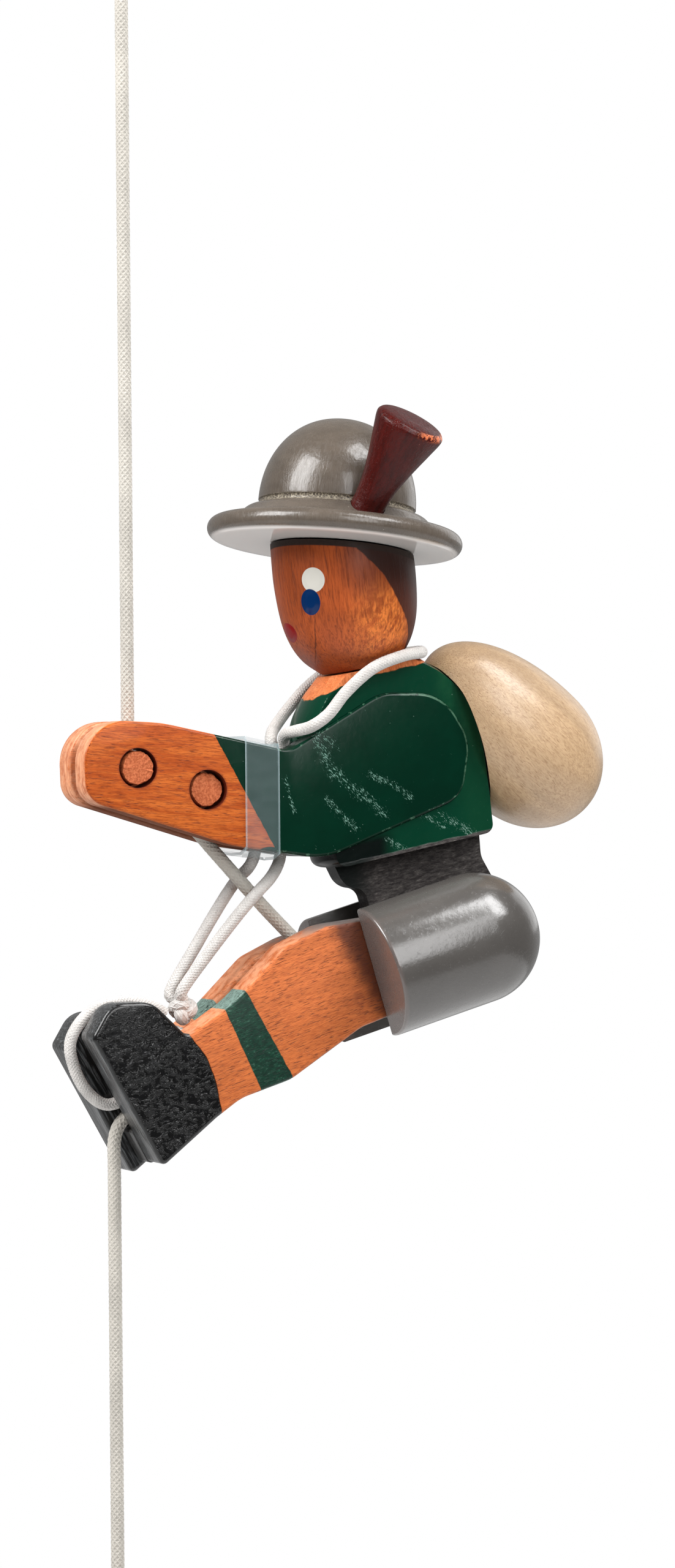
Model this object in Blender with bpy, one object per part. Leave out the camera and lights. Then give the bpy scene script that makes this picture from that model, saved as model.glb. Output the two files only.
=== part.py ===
"""A climbing figure toy: a wooden mountaineer that creeps up a string.

The figure hangs on a cotton string that is pinched between its hands, bends round
a guide between its legs and leaves through a slot between its shoes. Its legs turn
on a hip pin, and an elastic cord from the neck to the toes pulls them up.

Metres, +Z up. The figure faces -X, its left side is -Y. The world's origin is the
inside top of the hanging loop. The figure's own frame has its origin on the string,
level with the front hand peg, and the leg pieces hang from an empty on the hip pin.
"""

import math

import bmesh
import bpy
from mathutils import Matrix, Vector

MM = 0.001

# Fits
SEAT_GAP = 0.3 * MM
PIVOT_GAP = 0.3 * MM
PEG_HOLE_PLAY = 0.5 * MM
SOFT_EDGE = 0.7 * MM

# String and elastic
STRING_DIAMETER = 2.4 * MM
ELASTIC_DIAMETER = 2.2 * MM
HANG_DROP = 166.0 * MM
LOOP_HEIGHT = 19.5 * MM
LOOP_WIDTH = 10.4 * MM
KNOT_RADIUS = 2.7 * MM
KNOT_HEIGHT = 5.6 * MM
STRING_EXIT_X = -3.2 * MM
LEAD_TOP_Z = -70.3 * MM
LEAD_BOTTOM_Z = -101.5 * MM

# Pull bead
BEAD_TOP_Z = -145.5 * MM
BEAD_RADIUS = 6.0 * MM
BEAD_HEIGHT = 11.0 * MM

# Arms
ARM_THICKNESS = 5.6 * MM
PEG_RADIUS = 3.0 * MM
PEG_RECESS = 1.2 * MM
FRONT_PEG_X = -0.6 * MM
REAR_PEG_X = 12.4 * MM
REAR_PEG_Z = -3.9 * MM
ARM_CORNERS = (
    (-10.7, 8.7, 7.4),
    (-10.3, -5.6, 4.5),
    (17.0, -13.9, 30.0),
    (34.6, -16.4, 14.0),
    (61.4, -5.6, 6.0),
    (62.9, 4.6, 8.0),
    (57.6, 13.1, 9.0),
    (45.4, 13.1, 9.0),
    (27.8, 2.9, 4.0),
    (4.0, 7.9, 25.0),
)

# Clear band round the forearms
BAND_FRONT_X = 19.3 * MM
BAND_REAR_X = 25.6 * MM
BAND_WALL = 0.5 * MM
BAND_SAG = 0.7 * MM
BAND_SLIT = 4.2 * MM

# Torso
TORSO_TOP_X = 45.8 * MM
TORSO_TOP_Z = 17.9 * MM
TORSO_LEAN = 11.5
TORSO_HEIGHT = 33.6 * MM
TORSO_TOP_RADIUS = 9.2 * MM
TORSO_SHOULDER_RADIUS = 13.4 * MM
TORSO_CHEST_RADIUS = 17.6 * MM
TORSO_HEM_EDGE = 1.5 * MM
TORSO_HEM_RADIUS = 16.8 * MM
TORSO_WIDTH = 13.0 * MM
TONGUE_CORNERS = (
    (41.0, -6.0, 1.0),
    (36.1, -13.8, 1.0),
    (40.1, -21.6, 4.0),
    (43.9, -22.0, 2.5),
    (46.5, -30.4, 4.0),
    (54.4, -39.6, 6.0),
    (70.0, -39.2, 8.0),
    (71.0, -23.6, 6.0),
    (66.8, -16.4, 4.0),
    (66.0, -6.0, 1.0),
)

# Head
HEAD_LEAN = 7.0
HEAD_FORWARD = 2.3 * MM
HEAD_RADIUS = 12.8 * MM
HEAD_BOTTOM_RADIUS = 5.9 * MM
HEAD_HEIGHT = 22.2 * MM
DOWEL_RADIUS = 2.0 * MM
HEAD_DOWEL_DOWN = 3.8 * MM
HEAD_DOWEL_UP = 8.0 * MM

# Hat
HAT_TILT = 6.4
HAT_ROLL = 3.0
HAT_FORWARD = 1.35 * MM
BRIM_RADIUS = 23.0 * MM
BRIM_RIM = 3.9 * MM
BRIM_RISE = 2.8 * MM
CROWN_RADIUS = 14.2 * MM
CROWN_HEIGHT = 16.6 * MM
SPIGOT_RADIUS = 7.0 * MM
SPIGOT_HEIGHT = 8.0 * MM

# Plume
PLUME_BASE_RADIUS = 3.0 * MM
PLUME_TOP_RADIUS = 6.4 * MM
PLUME_LENGTH = 17.6 * MM
PLUME_SOCKET = 1.7 * MM
PLUME_OUT = 16.2 * MM
PLUME_BACK = -0.6 * MM
PLUME_AXIS = (0.314, -0.44, 0.841)

# Backpack
PACK_TOP_X = 58.5 * MM
PACK_TOP_Z = 20.2 * MM
PACK_LENGTH = 40.8 * MM
PACK_RADIUS = 13.1 * MM
PACK_WIDEST = 0.62
PACK_SLOPE = 43.5
PACK_SEAT_DOWN = 13.0 * MM
PACK_DOWEL_IN = 3.6 * MM
PACK_DOWEL_OUT = 6.4 * MM

# Legs, about the hip pin
HIP_X = 61.8 * MM
HIP_Z = -31.0 * MM
HIP_PIN_RADIUS = 2.0 * MM
LEG_THICKNESS = 7.4 * MM
TONGUE_THICKNESS = 4.6 * MM
FAR_LEG_FORWARD = 1.2 * MM
FAR_LEG_DROP = 2.2 * MM
LEG_CORNERS = (
    (70.4, -23.6, 8.0),
    (33.1, -28.2, 12.0),
    (25.4, -31.9, 6.0),
    (16.0, -41.2, 20.0),
    (7.2, -47.0, 1.5),
    (0.8, -40.9, 4.5),
    (-6.9, -40.9, 4.5),
    (-10.4, -46.8, 1.5),
    (2.4, -69.7, 1.0),
    (12.6, -61.4, 5.0),
    (17.2, -58.2, 10.0),
    (26.6, -55.2, 8.0),
    (40.1, -46.4, 8.0),
    (47.6, -43.8, 8.0),
    (70.4, -40.6, 8.0),
)

# Trousers
TROUSER_RADIUS = 11.8 * MM
TROUSER_LENGTH = 20.2 * MM
TROUSER_SLOPE = 16.5

# Between the legs
KNEE_PEG_X = 31.3 * MM
KNEE_PEG_Z = -37.4 * MM
KNEE_PEG_RADIUS = 2.5 * MM
TOE_PEG_X = -0.2 * MM
TOE_PEG_Z = -49.8 * MM
TOE_PEG_RADIUS = 3.0 * MM
PEG_SOCKET = 3.0 * MM
SPACER_CORNERS = (
    (9.6, -57.9, 0.5),
    (-0.8, -63.8, 0.5),
    (2.6, -70.0, 1.0),
    (12.3, -62.0, 1.5),
)

# Knot of the elastic, on the instep
ELASTIC_KNOT_X = 9.9 * MM
ELASTIC_KNOT_Z = -42.9 * MM

# Routes of the cords, in millimetres: x, y, z in the figure's frame
HAND_ROUTE = (
    (0.0, 0.0, 8.2),
    (0.0, 0.0, 6.0),
    (1.7, 0.0, 4.1),
    (3.7, 0.0, 1.7),
    (4.6, 0.0, -0.8),
    (6.0, 0.0, -3.6),
    (8.8, 0.0, -7.0),
    (12.0, 0.0, -10.4),
    (15.6, 0.0, -14.4),
)
LEG_ROUTE = (
    (15.9, 0.0, -14.7),
    (20.2, 0.0, -19.4),
    (26.0, 0.0, -25.6),
    (31.2, 0.0, -31.3),
)
GUIDE_ROUTE = (
    (31.5, 0.0, -31.6),
    (34.9, 0.0, -34.8),
    (35.9, 0.0, -37.9),
    (34.2, 0.0, -41.1),
    (28.0, 0.0, -44.9),
    (19.0, 0.0, -50.3),
    (8.2, 0.0, -56.5),
    (2.0, 0.0, -59.8),
    (-1.6, 0.0, -62.0),
    (-3.1, 0.0, -65.2),
    (-3.2, 0.0, -70.0),
)
NECK_ROUTE = (
    (28.9, 0.0, -14.0),
    (29.9, 0.0, -7.0),
    (29.9, 0.0, 0.4),
    (29.3, -0.4, 4.0),
    (28.9, -2.6, 5.8),
    (29.8, -5.4, 6.4),
    (31.8, -8.0, 7.2),
    (34.6, -9.2, 9.4),
    (37.9, -9.4, 13.3),
    (43.0, -9.7, 17.5),
    (48.9, -9.4, 19.7),
    (53.7, -6.0, 20.4),
    (55.5, 0.0, 20.7),
    (53.7, 6.0, 20.4),
    (48.9, 9.4, 19.7),
    (42.8, 9.8, 17.8),
    (38.0, 9.6, 14.6),
    (33.8, 8.6, 10.6),
    (30.2, 5.8, 7.4),
    (28.2, 2.6, 6.0),
    (27.2, 0.4, 4.4),
    (27.2, 0.0, 0.4),
    (25.6, 0.0, -7.0),
    (24.1, 0.0, -13.6),
)
LEFT_STRAND_ROUTE = (
    (28.86, 0.0, -14.3),
    (28.3, -0.1, -17.0),
    (26.2, -1.6, -19.6),
    (23.2, -2.7, -22.2),
    (19.4, -2.8, -26.2),
    (13.4, -1.8, -33.8),
    (9.3, -1.4, -39.3),
)
RIGHT_STRAND_ROUTE = (
    (24.0, 0.0, -14.1),
    (23.5, 0.1, -16.3),
    (22.8, 1.0, -18.0),
    (21.6, 2.6, -19.7),
    (19.8, 3.1, -22.2),
    (16.8, 2.7, -26.4),
    (12.8, 1.9, -32.2),
    (8.1, 1.4, -39.5),
)
TOE_ROUTE = (
    (6.5, 0.0, -43.4),
    (3.4, 0.0, -41.8),
    (-0.9, 0.0, -41.1),
    (-6.0, 0.0, -42.0),
    (-9.5, 0.0, -44.8),
    (-11.2, 0.0, -48.4),
    (-10.4, 0.0, -52.6),
    (-8.4, 0.0, -56.4),
    (-5.4, 0.0, -58.9),
    (-2.4, 0.0, -58.8),
    (1.6, 0.0, -56.6),
    (5.6, 0.0, -53.0),
    (8.2, 0.0, -49.2),
    (9.6, 0.0, -46.1),
)

ROUND_SIDES = 36
SMALL_ROUND_SIDES = 20
BEND_SPACING = 1.4
RUN_SPACING = 3.0


def clear_scene():
    """Remove whatever the open scene holds."""
    for obj in list(bpy.data.objects):
        bpy.data.objects.remove(obj, do_unlink=True)


def paint(name, colour, roughness):
    """A plain lacquer, stain or fibre colour."""
    material = bpy.data.materials.new(name)
    material.use_nodes = True
    shader = material.node_tree.nodes["Principled BSDF"]
    shader.inputs["Base Color"].default_value = (*colour, 1.0)
    shader.inputs["Roughness"].default_value = roughness
    shader.inputs["Metallic"].default_value = 0.0
    return material


def empty(name, parent, place):
    """An empty that pieces hang from."""
    pivot = bpy.data.objects.new(name, None)
    bpy.context.scene.collection.objects.link(pivot)
    pivot.parent = parent
    pivot.location = place
    return pivot


def add_object(name, data, parent, matrix, material):
    """Link an object with its material under its parent."""
    obj = bpy.data.objects.new(name, data)
    bpy.context.scene.collection.objects.link(obj)
    obj.parent = parent
    obj.matrix_local = matrix
    if material is not None:
        data.materials.append(material)
    return obj


def mesh_from(name, build):
    """A mesh with outward faces from a bmesh that build fills."""
    shape = bmesh.new()
    build(shape)
    bmesh.ops.remove_doubles(shape, verts=shape.verts, dist=0.001 * MM)
    bmesh.ops.recalc_face_normals(shape, faces=shape.faces)
    mesh = bpy.data.meshes.new(name)
    shape.to_mesh(mesh)
    shape.free()
    return mesh


def place(x, z, turn=0.0):
    """A frame at x, z in the middle plane; turn leans its top back, in degrees."""
    return Matrix.Translation((x, 0.0, z)) @ Matrix.Rotation(math.radians(turn), 4, "Y")


def arc_points(centre, radius, start, end, steps):
    """Points on an arc, with its angles in degrees."""
    points = []
    for step in range(steps + 1):
        angle = math.radians(start + (end - start) * step / steps)
        points.append((centre[0] + radius * math.cos(angle), centre[1] + radius * math.sin(angle)))
    return points


def rounded_outline(corners):
    """Turn corners of x, z and radius, in millimetres, into a filleted outline."""
    outline = []
    count = len(corners)
    for index, (x, z, radius) in enumerate(corners):
        here = Vector((x, z))
        before = (Vector(corners[index - 1][:2]) - here).normalized()
        after = (Vector(corners[(index + 1) % count][:2]) - here).normalized()
        opening = before.angle(after)
        centre = here + (before + after).normalized() * radius / math.sin(opening / 2.0)
        first = here + before * radius / math.tan(opening / 2.0) - centre
        last = here + after * radius / math.tan(opening / 2.0) - centre
        sweep = math.atan2(first.cross(last), first.dot(last))
        steps = max(1, math.ceil(abs(sweep) / math.radians(15.0)))
        for step in range(steps + 1):
            spoke = first.copy()
            spoke.rotate(Matrix.Rotation(sweep * step / steps, 2))
            outline.append((centre + spoke) * MM)
    return outline


def grown(outline, margin):
    """The same outline with its edge moved outwards."""
    area = sum(a.cross(b) for a, b in zip(outline, outline[1:] + outline[:1]))
    side = math.copysign(margin, area)
    moved = []
    for index, point in enumerate(outline):
        before = (point - outline[index - 1]).normalized()
        after = (outline[(index + 1) % len(outline)] - point).normalized()
        tangent = (before + after).normalized()
        moved.append(point + Vector((tangent.y, -tangent.x)) * side)
    return moved


def prism(name, outline, near, far):
    """A board: an outline in x, z between two values of y."""

    def build(shape):
        ring = [shape.verts.new((point.x, near, point.y)) for point in outline]
        face = shape.faces.new(ring)
        moved = bmesh.ops.extrude_face_region(shape, geom=[face])["geom"]
        verts = [item for item in moved if isinstance(item, bmesh.types.BMVert)]
        bmesh.ops.translate(shape, verts=verts, vec=(0.0, far - near, 0.0))

    return mesh_from(name, build)


def turning(name, profile, steps):
    """A turned solid about Z from a profile of radius and height."""

    def build(shape):
        verts = [shape.verts.new((radius, 0.0, height)) for radius, height in profile]
        edges = [shape.edges.new(pair) for pair in zip(verts, verts[1:])]
        bmesh.ops.spin(
            shape,
            geom=verts + edges,
            cent=(0.0, 0.0, 0.0),
            axis=(0.0, 0.0, 1.0),
            angle=math.tau,
            steps=steps,
            use_merge=True,
        )

    mesh = mesh_from(name, build)
    mesh.shade_smooth()
    mesh.set_sharp_from_angle(angle=math.radians(35.0))
    return mesh


def rod_profile(radius, bottom, top, chamfer=0.0):
    """The profile of a dowel."""
    return [
        (0.0, bottom),
        (radius - chamfer, bottom),
        (radius, bottom + chamfer),
        (radius, top - chamfer),
        (radius - chamfer, top),
        (0.0, top),
    ]


def smooth_profile(points, steps):
    """A smooth curve through the points, as spans of a Catmull-Rom spline."""
    padded = [2 * Vector(points[0]) - Vector(points[1])]
    padded += [Vector(point) for point in points]
    padded += [2 * Vector(points[-1]) - Vector(points[-2])]
    curve = []
    for a, b, c, d in zip(padded, padded[1:], padded[2:], padded[3:]):
        for step in range(steps):
            t = step / steps
            curve.append(
                0.5
                * (
                    2 * b
                    + (c - a) * t
                    + (2 * a - 5 * b + 4 * c - d) * t * t
                    + (3 * b - a - 3 * c + d) * t * t * t
                )
            )
    curve.append(padded[-2])
    return curve


def hidden(obj):
    """Mark a cutter or an added lump, which isn't a piece itself."""
    obj.hide_render = True
    obj.display_type = "WIRE"
    return obj


def combine(obj, other, operation):
    """Cut, join or intersect with a hidden object."""
    modifier = obj.modifiers.new(other.name, "BOOLEAN")
    modifier.operation = operation
    modifier.solver = "EXACT"
    modifier.object = hidden(other)


def soften(obj, width):
    """Break the sharp edges of a board."""
    modifier = obj.modifiers.new("soft_edge", "BEVEL")
    modifier.width = width
    modifier.segments = 2
    modifier.limit_method = "ANGLE"
    modifier.angle_limit = math.radians(50.0)


def cross_rod(name, parent, x, z, radius, near, far, material=None):
    """A rod or a bore's cutter along Y, between two values of y."""
    mesh = turning(name, rod_profile(radius, near, far), SMALL_ROUND_SIDES)
    matrix = Matrix.Translation((x, 0.0, z)) @ Matrix.Rotation(math.radians(-90.0), 4, "X")
    return add_object(name, mesh, parent, matrix, material)


def cord(name, route, diameter, parent, material, spacing=BEND_SPACING):
    """A tube along a smooth curve through route points given in millimetres."""
    curve = smooth_profile([Vector(point) * MM for point in route], 24)
    lengths = [0.0]
    for a, b in zip(curve, curve[1:]):
        lengths.append(lengths[-1] + (b - a).length)
    count = max(2, round(lengths[-1] / (spacing * diameter)))
    points = []
    for index in range(count + 1):
        target = lengths[-1] * index / count
        span = max(i for i in range(len(curve) - 1) if lengths[i] <= target + 1e-12)
        share = (target - lengths[span]) / (lengths[span + 1] - lengths[span])
        points.append(curve[span].lerp(curve[span + 1], share))
    data = bpy.data.curves.new(name, "CURVE")
    data.dimensions = "3D"
    spline = data.splines.new("POLY")
    spline.points.add(len(points) - 1)
    for point, position in zip(spline.points, points):
        point.co = (*position, 1.0)
    data.bevel_depth = diameter / 2.0
    data.bevel_resolution = 2
    data.use_fill_caps = True
    return add_object(name, data, parent, Matrix.Identity(4), material)


def knot(name, parent, centre, material):
    """A pulled-tight knot, as a short barrel with rounded ends."""
    bulge = KNOT_HEIGHT / 2.0
    profile = [(0.0, -bulge)]
    for step in range(1, 6):
        angle = math.radians(-90.0 + 180.0 * step / 6)
        profile.append((KNOT_RADIUS * math.cos(angle) ** 0.7, bulge * math.sin(angle)))
    profile.append((0.0, bulge))
    mesh = turning(name, profile, 14)
    return add_object(name, mesh, parent, Matrix.Translation(centre), material)


def make_hanging_loop(cotton):
    """The loop and its knot, above the figure, and the upper run of the string."""
    half = LOOP_WIDTH / 2.0 / MM
    crest = STRING_DIAMETER / 2.0 / MM
    bottom = -LOOP_HEIGHT / MM
    foot = STRING_DIAMETER * 0.6 / MM
    side = [(foot, 0.0, bottom), (half * 0.68, 0.0, bottom * 0.7), (half, 0.0, bottom * 0.32)]
    side.append((half * 0.72, 0.0, bottom * 0.04))
    route = [(-x, y, z) for x, y, z in side] + [(0.0, 0.0, crest)] + side[::-1]
    cord("string_loop", route, STRING_DIAMETER, None, cotton)
    knot_z = -LOOP_HEIGHT - SEAT_GAP - KNOT_HEIGHT / 2.0
    knot("string_loop_knot", None, (0.0, 0.0, knot_z), cotton)
    top = knot_z - KNOT_HEIGHT / 2.0 - SEAT_GAP
    hand = HAND_ROUTE[0][2] * MM - HANG_DROP + SEAT_GAP
    route = [(0.0, 0.0, top / MM), (0.0, 0.0, (top + hand) / 2.0 / MM), (0.0, 0.0, hand / MM)]
    cord("string_upper", route, STRING_DIAMETER, None, cotton, RUN_SPACING)


def make_string_runs(figure, hip, cotton):
    """The string from the hands to the sole, and down to the bead."""
    cord("string_hand_run", HAND_ROUTE, STRING_DIAMETER, figure, cotton)
    cord("string_leg_run", LEG_ROUTE, STRING_DIAMETER, figure, cotton)
    cord("string_guide_run", about_hip(GUIDE_ROUTE), STRING_DIAMETER, hip, cotton)
    x = STRING_EXIT_X / MM
    top = LEAD_TOP_Z / MM
    bottom = LEAD_BOTTOM_Z / MM
    route = [(x, 0.0, top), (x, 0.0, (top + bottom) / 2.0), (x, 0.0, bottom)]
    cord("string_lead", route, STRING_DIAMETER, figure, cotton, RUN_SPACING)
    drop = HANG_DROP / MM
    top = bottom - drop - SEAT_GAP / MM
    bottom = (BEAD_TOP_Z - BEAD_HEIGHT) / MM - drop
    route = [(x, 0.0, top), (x, 0.0, (top + bottom) / 2.0), (x, 0.0, bottom)]
    cord("string_tail", route, STRING_DIAMETER, None, cotton, RUN_SPACING)


def about_hip(route):
    """A route's points measured from the hip pin."""
    return [(x - HIP_X / MM, y, z - HIP_Z / MM) for x, y, z in route]


def make_pull_bead(wood, cotton):
    """The bead on the string's lower end, over its knot."""
    half = BEAD_HEIGHT / 2.0
    bore = STRING_DIAMETER / 2.0 + SEAT_GAP
    start = math.degrees(math.acos(bore / BEAD_RADIUS))
    profile = []
    for step in range(11):
        angle = math.radians(-start + 2.0 * start * step / 10)
        profile.append((BEAD_RADIUS * math.cos(angle), half * math.sin(angle)))
    low = profile[0][1]
    high = profile[-1][1]
    profile = profile + [(bore, low + (high - low) * 0.5), profile[0]]
    mesh = turning("pull_bead", profile, 24)
    centre = (STRING_EXIT_X, 0.0, BEAD_TOP_Z - half - HANG_DROP)
    add_object("pull_bead", mesh, None, Matrix.Translation(centre), wood)
    knot_z = BEAD_TOP_Z - BEAD_HEIGHT - SEAT_GAP - KNOT_HEIGHT / 2.0 - HANG_DROP
    knot("bead_knot", None, (STRING_EXIT_X, 0.0, knot_z), cotton)


def torso_frame():
    """The frame on the torso's top, with Z along its leaning axis."""
    return place(TORSO_TOP_X, TORSO_TOP_Z, -TORSO_LEAN)


def torso_profile(extra=0.0):
    """The turned barrel of the torso, hem at the bottom."""
    edge = TORSO_HEM_EDGE
    points = [
        (TORSO_HEM_RADIUS, -TORSO_HEIGHT + edge),
        (TORSO_CHEST_RADIUS * 0.985, -TORSO_HEIGHT * 0.75),
        (TORSO_CHEST_RADIUS, -TORSO_HEIGHT * 0.5),
        (TORSO_CHEST_RADIUS * 0.92, -TORSO_HEIGHT * 0.26),
        (TORSO_SHOULDER_RADIUS, -TORSO_HEIGHT * 0.12),
        (TORSO_TOP_RADIUS + 0.9 * MM, -0.8 * MM),
    ]
    profile = [(0.0, -TORSO_HEIGHT - extra), (TORSO_HEM_RADIUS - edge + extra, -TORSO_HEIGHT - extra)]
    profile.append((TORSO_HEM_RADIUS - 0.3 * edge + extra, -TORSO_HEIGHT + 0.3 * edge - extra))
    profile += [(radius + extra, height) for radius, height in smooth_profile(points, 4)]
    profile += [(TORSO_TOP_RADIUS + extra, extra), (0.0, extra)]
    return profile


def make_torso(figure, material):
    """The torso: a turned barrel milled flat, with arm seats and the hip tongue."""
    barrel = turning("torso", torso_profile(), 2 * SMALL_ROUND_SIDES)
    torso = add_object("torso", barrel, figure, torso_frame(), material)
    reach = 2.0 * TORSO_HEIGHT
    flat = [Vector((-reach, -reach)), Vector((reach, -reach))]
    flat += [Vector((reach, reach)), Vector((-reach, reach))]
    slab = prism("torso_slab", flat, -TORSO_WIDTH / 2.0, TORSO_WIDTH / 2.0)
    combine(torso, add_object("torso_slab", slab, figure, place(TORSO_TOP_X, 0.0), None), "INTERSECT")
    half = TONGUE_THICKNESS / 2.0
    tongue = prism("torso_tongue", rounded_outline(TONGUE_CORNERS), -half, half)
    combine(torso, add_object("torso_tongue", tongue, figure, Matrix.Identity(4), None), "UNION")
    seat = grown(rounded_outline(ARM_CORNERS), SEAT_GAP)
    floor = arm_inner() - SEAT_GAP
    for side, near, far in (("left", -reach, -floor), ("right", floor, reach)):
        name = "arm_seat_" + side
        cutter = add_object(name, prism(name, seat, near, far), figure, Matrix.Identity(4), None)
        combine(torso, cutter, "DIFFERENCE")
    bore = cross_rod("hip_bore", figure, HIP_X, HIP_Z, HIP_PIN_RADIUS + PIVOT_GAP, -reach, reach)
    combine(torso, bore, "DIFFERENCE")
    combine(torso, dowel_bore("torso_neck_bore", figure, head_dowel_frame(), HEAD_DOWEL_DOWN), "DIFFERENCE")
    combine(torso, dowel_bore("torso_back_bore", figure, pack_dowel_frame(), PACK_DOWEL_IN), "DIFFERENCE")
    return torso


def dowel_bore(name, parent, matrix, depth):
    """The cutter of a dowel's hole, as deep on both sides of the joint."""
    profile = rod_profile(DOWEL_RADIUS + SEAT_GAP, -depth - SEAT_GAP, depth + SEAT_GAP)
    return add_object(name, turning(name, profile, SMALL_ROUND_SIDES), parent, matrix, None)


def make_dowel(name, parent, matrix, inward, outward, material):
    """A glued dowel that joins two turned pieces."""
    profile = rod_profile(DOWEL_RADIUS, -inward, outward, 0.4 * MM)
    return add_object(name, turning(name, profile, SMALL_ROUND_SIDES), parent, matrix, material)


def head_dowel_frame():
    """Middle of the head's dowel, in the seat between head and torso."""
    return torso_frame() @ Matrix.Translation((-HEAD_FORWARD, 0.0, 0.0))


def pack_dowel_frame():
    """Middle of the backpack's dowel, on the torso's back."""
    centre = Matrix.Translation((TORSO_CHEST_RADIUS, 0.0, -PACK_SEAT_DOWN))
    return torso_frame() @ centre @ Matrix.Rotation(math.radians(90.0), 4, "Y")


def head_frame():
    """The head's turning axis, from the middle of its seat."""
    return head_dowel_frame() @ Matrix.Rotation(math.radians(TORSO_LEAN - HEAD_LEAN), 4, "Y")


def hat_frame():
    """The hat's turning axis, from the middle of its underside."""
    seat = head_frame() @ Matrix.Translation((-HAT_FORWARD, 0.0, HEAD_HEIGHT))
    tilt = Matrix.Rotation(math.radians(HEAD_LEAN + HAT_TILT), 4, "Y")
    return seat @ tilt @ Matrix.Rotation(math.radians(-HAT_ROLL), 4, "X")


def plane_cutter(name, parent, matrix, bottom, top):
    """A wide disc that trims a turned piece to a plane."""
    profile = rod_profile(2.0 * BRIM_RADIUS, bottom, top)
    return add_object(name, turning(name, profile, 8), parent, matrix, None)


def make_head(figure, material):
    """The head: a turned egg with a flat seat, and a spigot for the hat."""
    widest = HEAD_RADIUS
    points = [
        (HEAD_BOTTOM_RADIUS * 0.8, -1.2 * MM),
        (HEAD_BOTTOM_RADIUS * 1.17, 0.4 * MM),
        (widest * 0.73, HEAD_HEIGHT * 0.12),
        (widest * 0.87, HEAD_HEIGHT * 0.26),
        (widest * 0.96, HEAD_HEIGHT * 0.45),
        (widest, HEAD_HEIGHT * 0.72),
        (widest * 0.995, HEAD_HEIGHT * 0.95),
        (widest * 0.97, HEAD_HEIGHT * 1.2),
    ]
    profile = [(0.0, points[0][1])] + smooth_profile(points, 3) + [(0.0, points[-1][1])]
    head = add_object("head", turning("head", profile, ROUND_SIDES), figure, head_frame(), material)
    above = plane_cutter("head_top_trim", figure, hat_frame(), -SEAT_GAP, HEAD_HEIGHT)
    combine(head, above, "DIFFERENCE")
    spigot = rod_profile(SPIGOT_RADIUS, -2.0 * MM, SPIGOT_HEIGHT, 0.5 * MM)
    lump = add_object("head_spigot", turning("head_spigot", spigot, 28), figure, hat_frame(), None)
    combine(head, lump, "UNION")
    below = plane_cutter("head_seat_trim", figure, torso_frame(), -HEAD_HEIGHT, SEAT_GAP)
    combine(head, below, "DIFFERENCE")
    combine(head, dowel_bore("head_neck_bore", figure, head_dowel_frame(), HEAD_DOWEL_UP), "DIFFERENCE")
    make_dowel("head_dowel", figure, head_dowel_frame(), HEAD_DOWEL_DOWN, HEAD_DOWEL_UP, material)


def brim_top():
    """Height of the brim where it meets the crown."""
    return BRIM_RIM + BRIM_RISE


def make_hat(figure, material):
    """The hat: brim with a rolled rim, a groove, a domed crown and a bore."""
    bore = SPIGOT_RADIUS + SEAT_GAP
    bore_top = SPIGOT_HEIGHT + 2.0 * SEAT_GAP
    rim = BRIM_RIM / 2.0
    base = brim_top()
    profile = [(0.0, bore_top), (bore, bore_top), (bore, 0.0)]
    profile.append((BRIM_RADIUS - rim, 0.0))
    profile += arc_points((BRIM_RADIUS - rim, rim), rim, -60.0, 75.0, 5)
    profile.append((BRIM_RADIUS - 2.3 * rim, BRIM_RIM + 0.25 * MM))
    profile.append((CROWN_RADIUS + 2.0 * MM, base - 0.7 * MM))
    profile.append((CROWN_RADIUS + 0.5 * MM, base))
    profile.append((CROWN_RADIUS - 0.25 * MM, base + 0.1 * MM))
    profile.append((CROWN_RADIUS - 0.25 * MM, base + 0.8 * MM))
    for step in range(10):
        angle = math.radians(10.0 * step)
        radius = CROWN_RADIUS * math.cos(angle) ** 0.92 if step < 9 else 0.0
        height = base + 1.0 * MM + (CROWN_HEIGHT - 1.0 * MM) * math.sin(angle)
        profile.append((radius, height))
    hat = add_object("hat", turning("hat", profile, ROUND_SIDES), figure, hat_frame(), material)
    socket = rod_profile(PLUME_BASE_RADIUS + SEAT_GAP, -PLUME_SOCKET - SEAT_GAP, 3.0 * PLUME_SOCKET)
    bore = turning("plume_socket", socket, SMALL_ROUND_SIDES)
    cutter = add_object("plume_socket", bore, figure, plume_frame(), None)
    combine(hat, cutter, "DIFFERENCE")


def plume_frame():
    """The plume's axis, from where it enters the brim beside the crown."""
    slope = BRIM_RISE / (BRIM_RADIUS - BRIM_RIM - CROWN_RADIUS)
    height = brim_top() - (PLUME_OUT - CROWN_RADIUS) * slope * 0.8
    foot = hat_frame() @ Vector((PLUME_BACK, -PLUME_OUT, height))
    turn = Vector(PLUME_AXIS).to_track_quat("Z", "Y").to_matrix().to_4x4()
    return Matrix.Translation(foot) @ turn


def make_plume(figure, material):
    """The plume: a turned peg that flares to a domed end."""
    base = PLUME_BASE_RADIUS
    top = PLUME_TOP_RADIUS
    length = PLUME_LENGTH
    points = [
        (base, length * 0.06),
        (base + (top - base) * 0.12, length * 0.26),
        (base + (top - base) * 0.4, length * 0.5),
        (base + (top - base) * 0.75, length * 0.74),
        (top, length * 0.92),
    ]
    profile = [(0.0, -PLUME_SOCKET), (base, -PLUME_SOCKET)] + smooth_profile(points, 3)
    profile += [(top * 0.985, length * 0.95), (top * 0.93, length * 0.975)]
    profile += [(top * 0.8, length * 0.99), (0.0, length)]
    add_object("hat_plume", turning("hat_plume", profile, 24), figure, plume_frame(), material)


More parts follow.
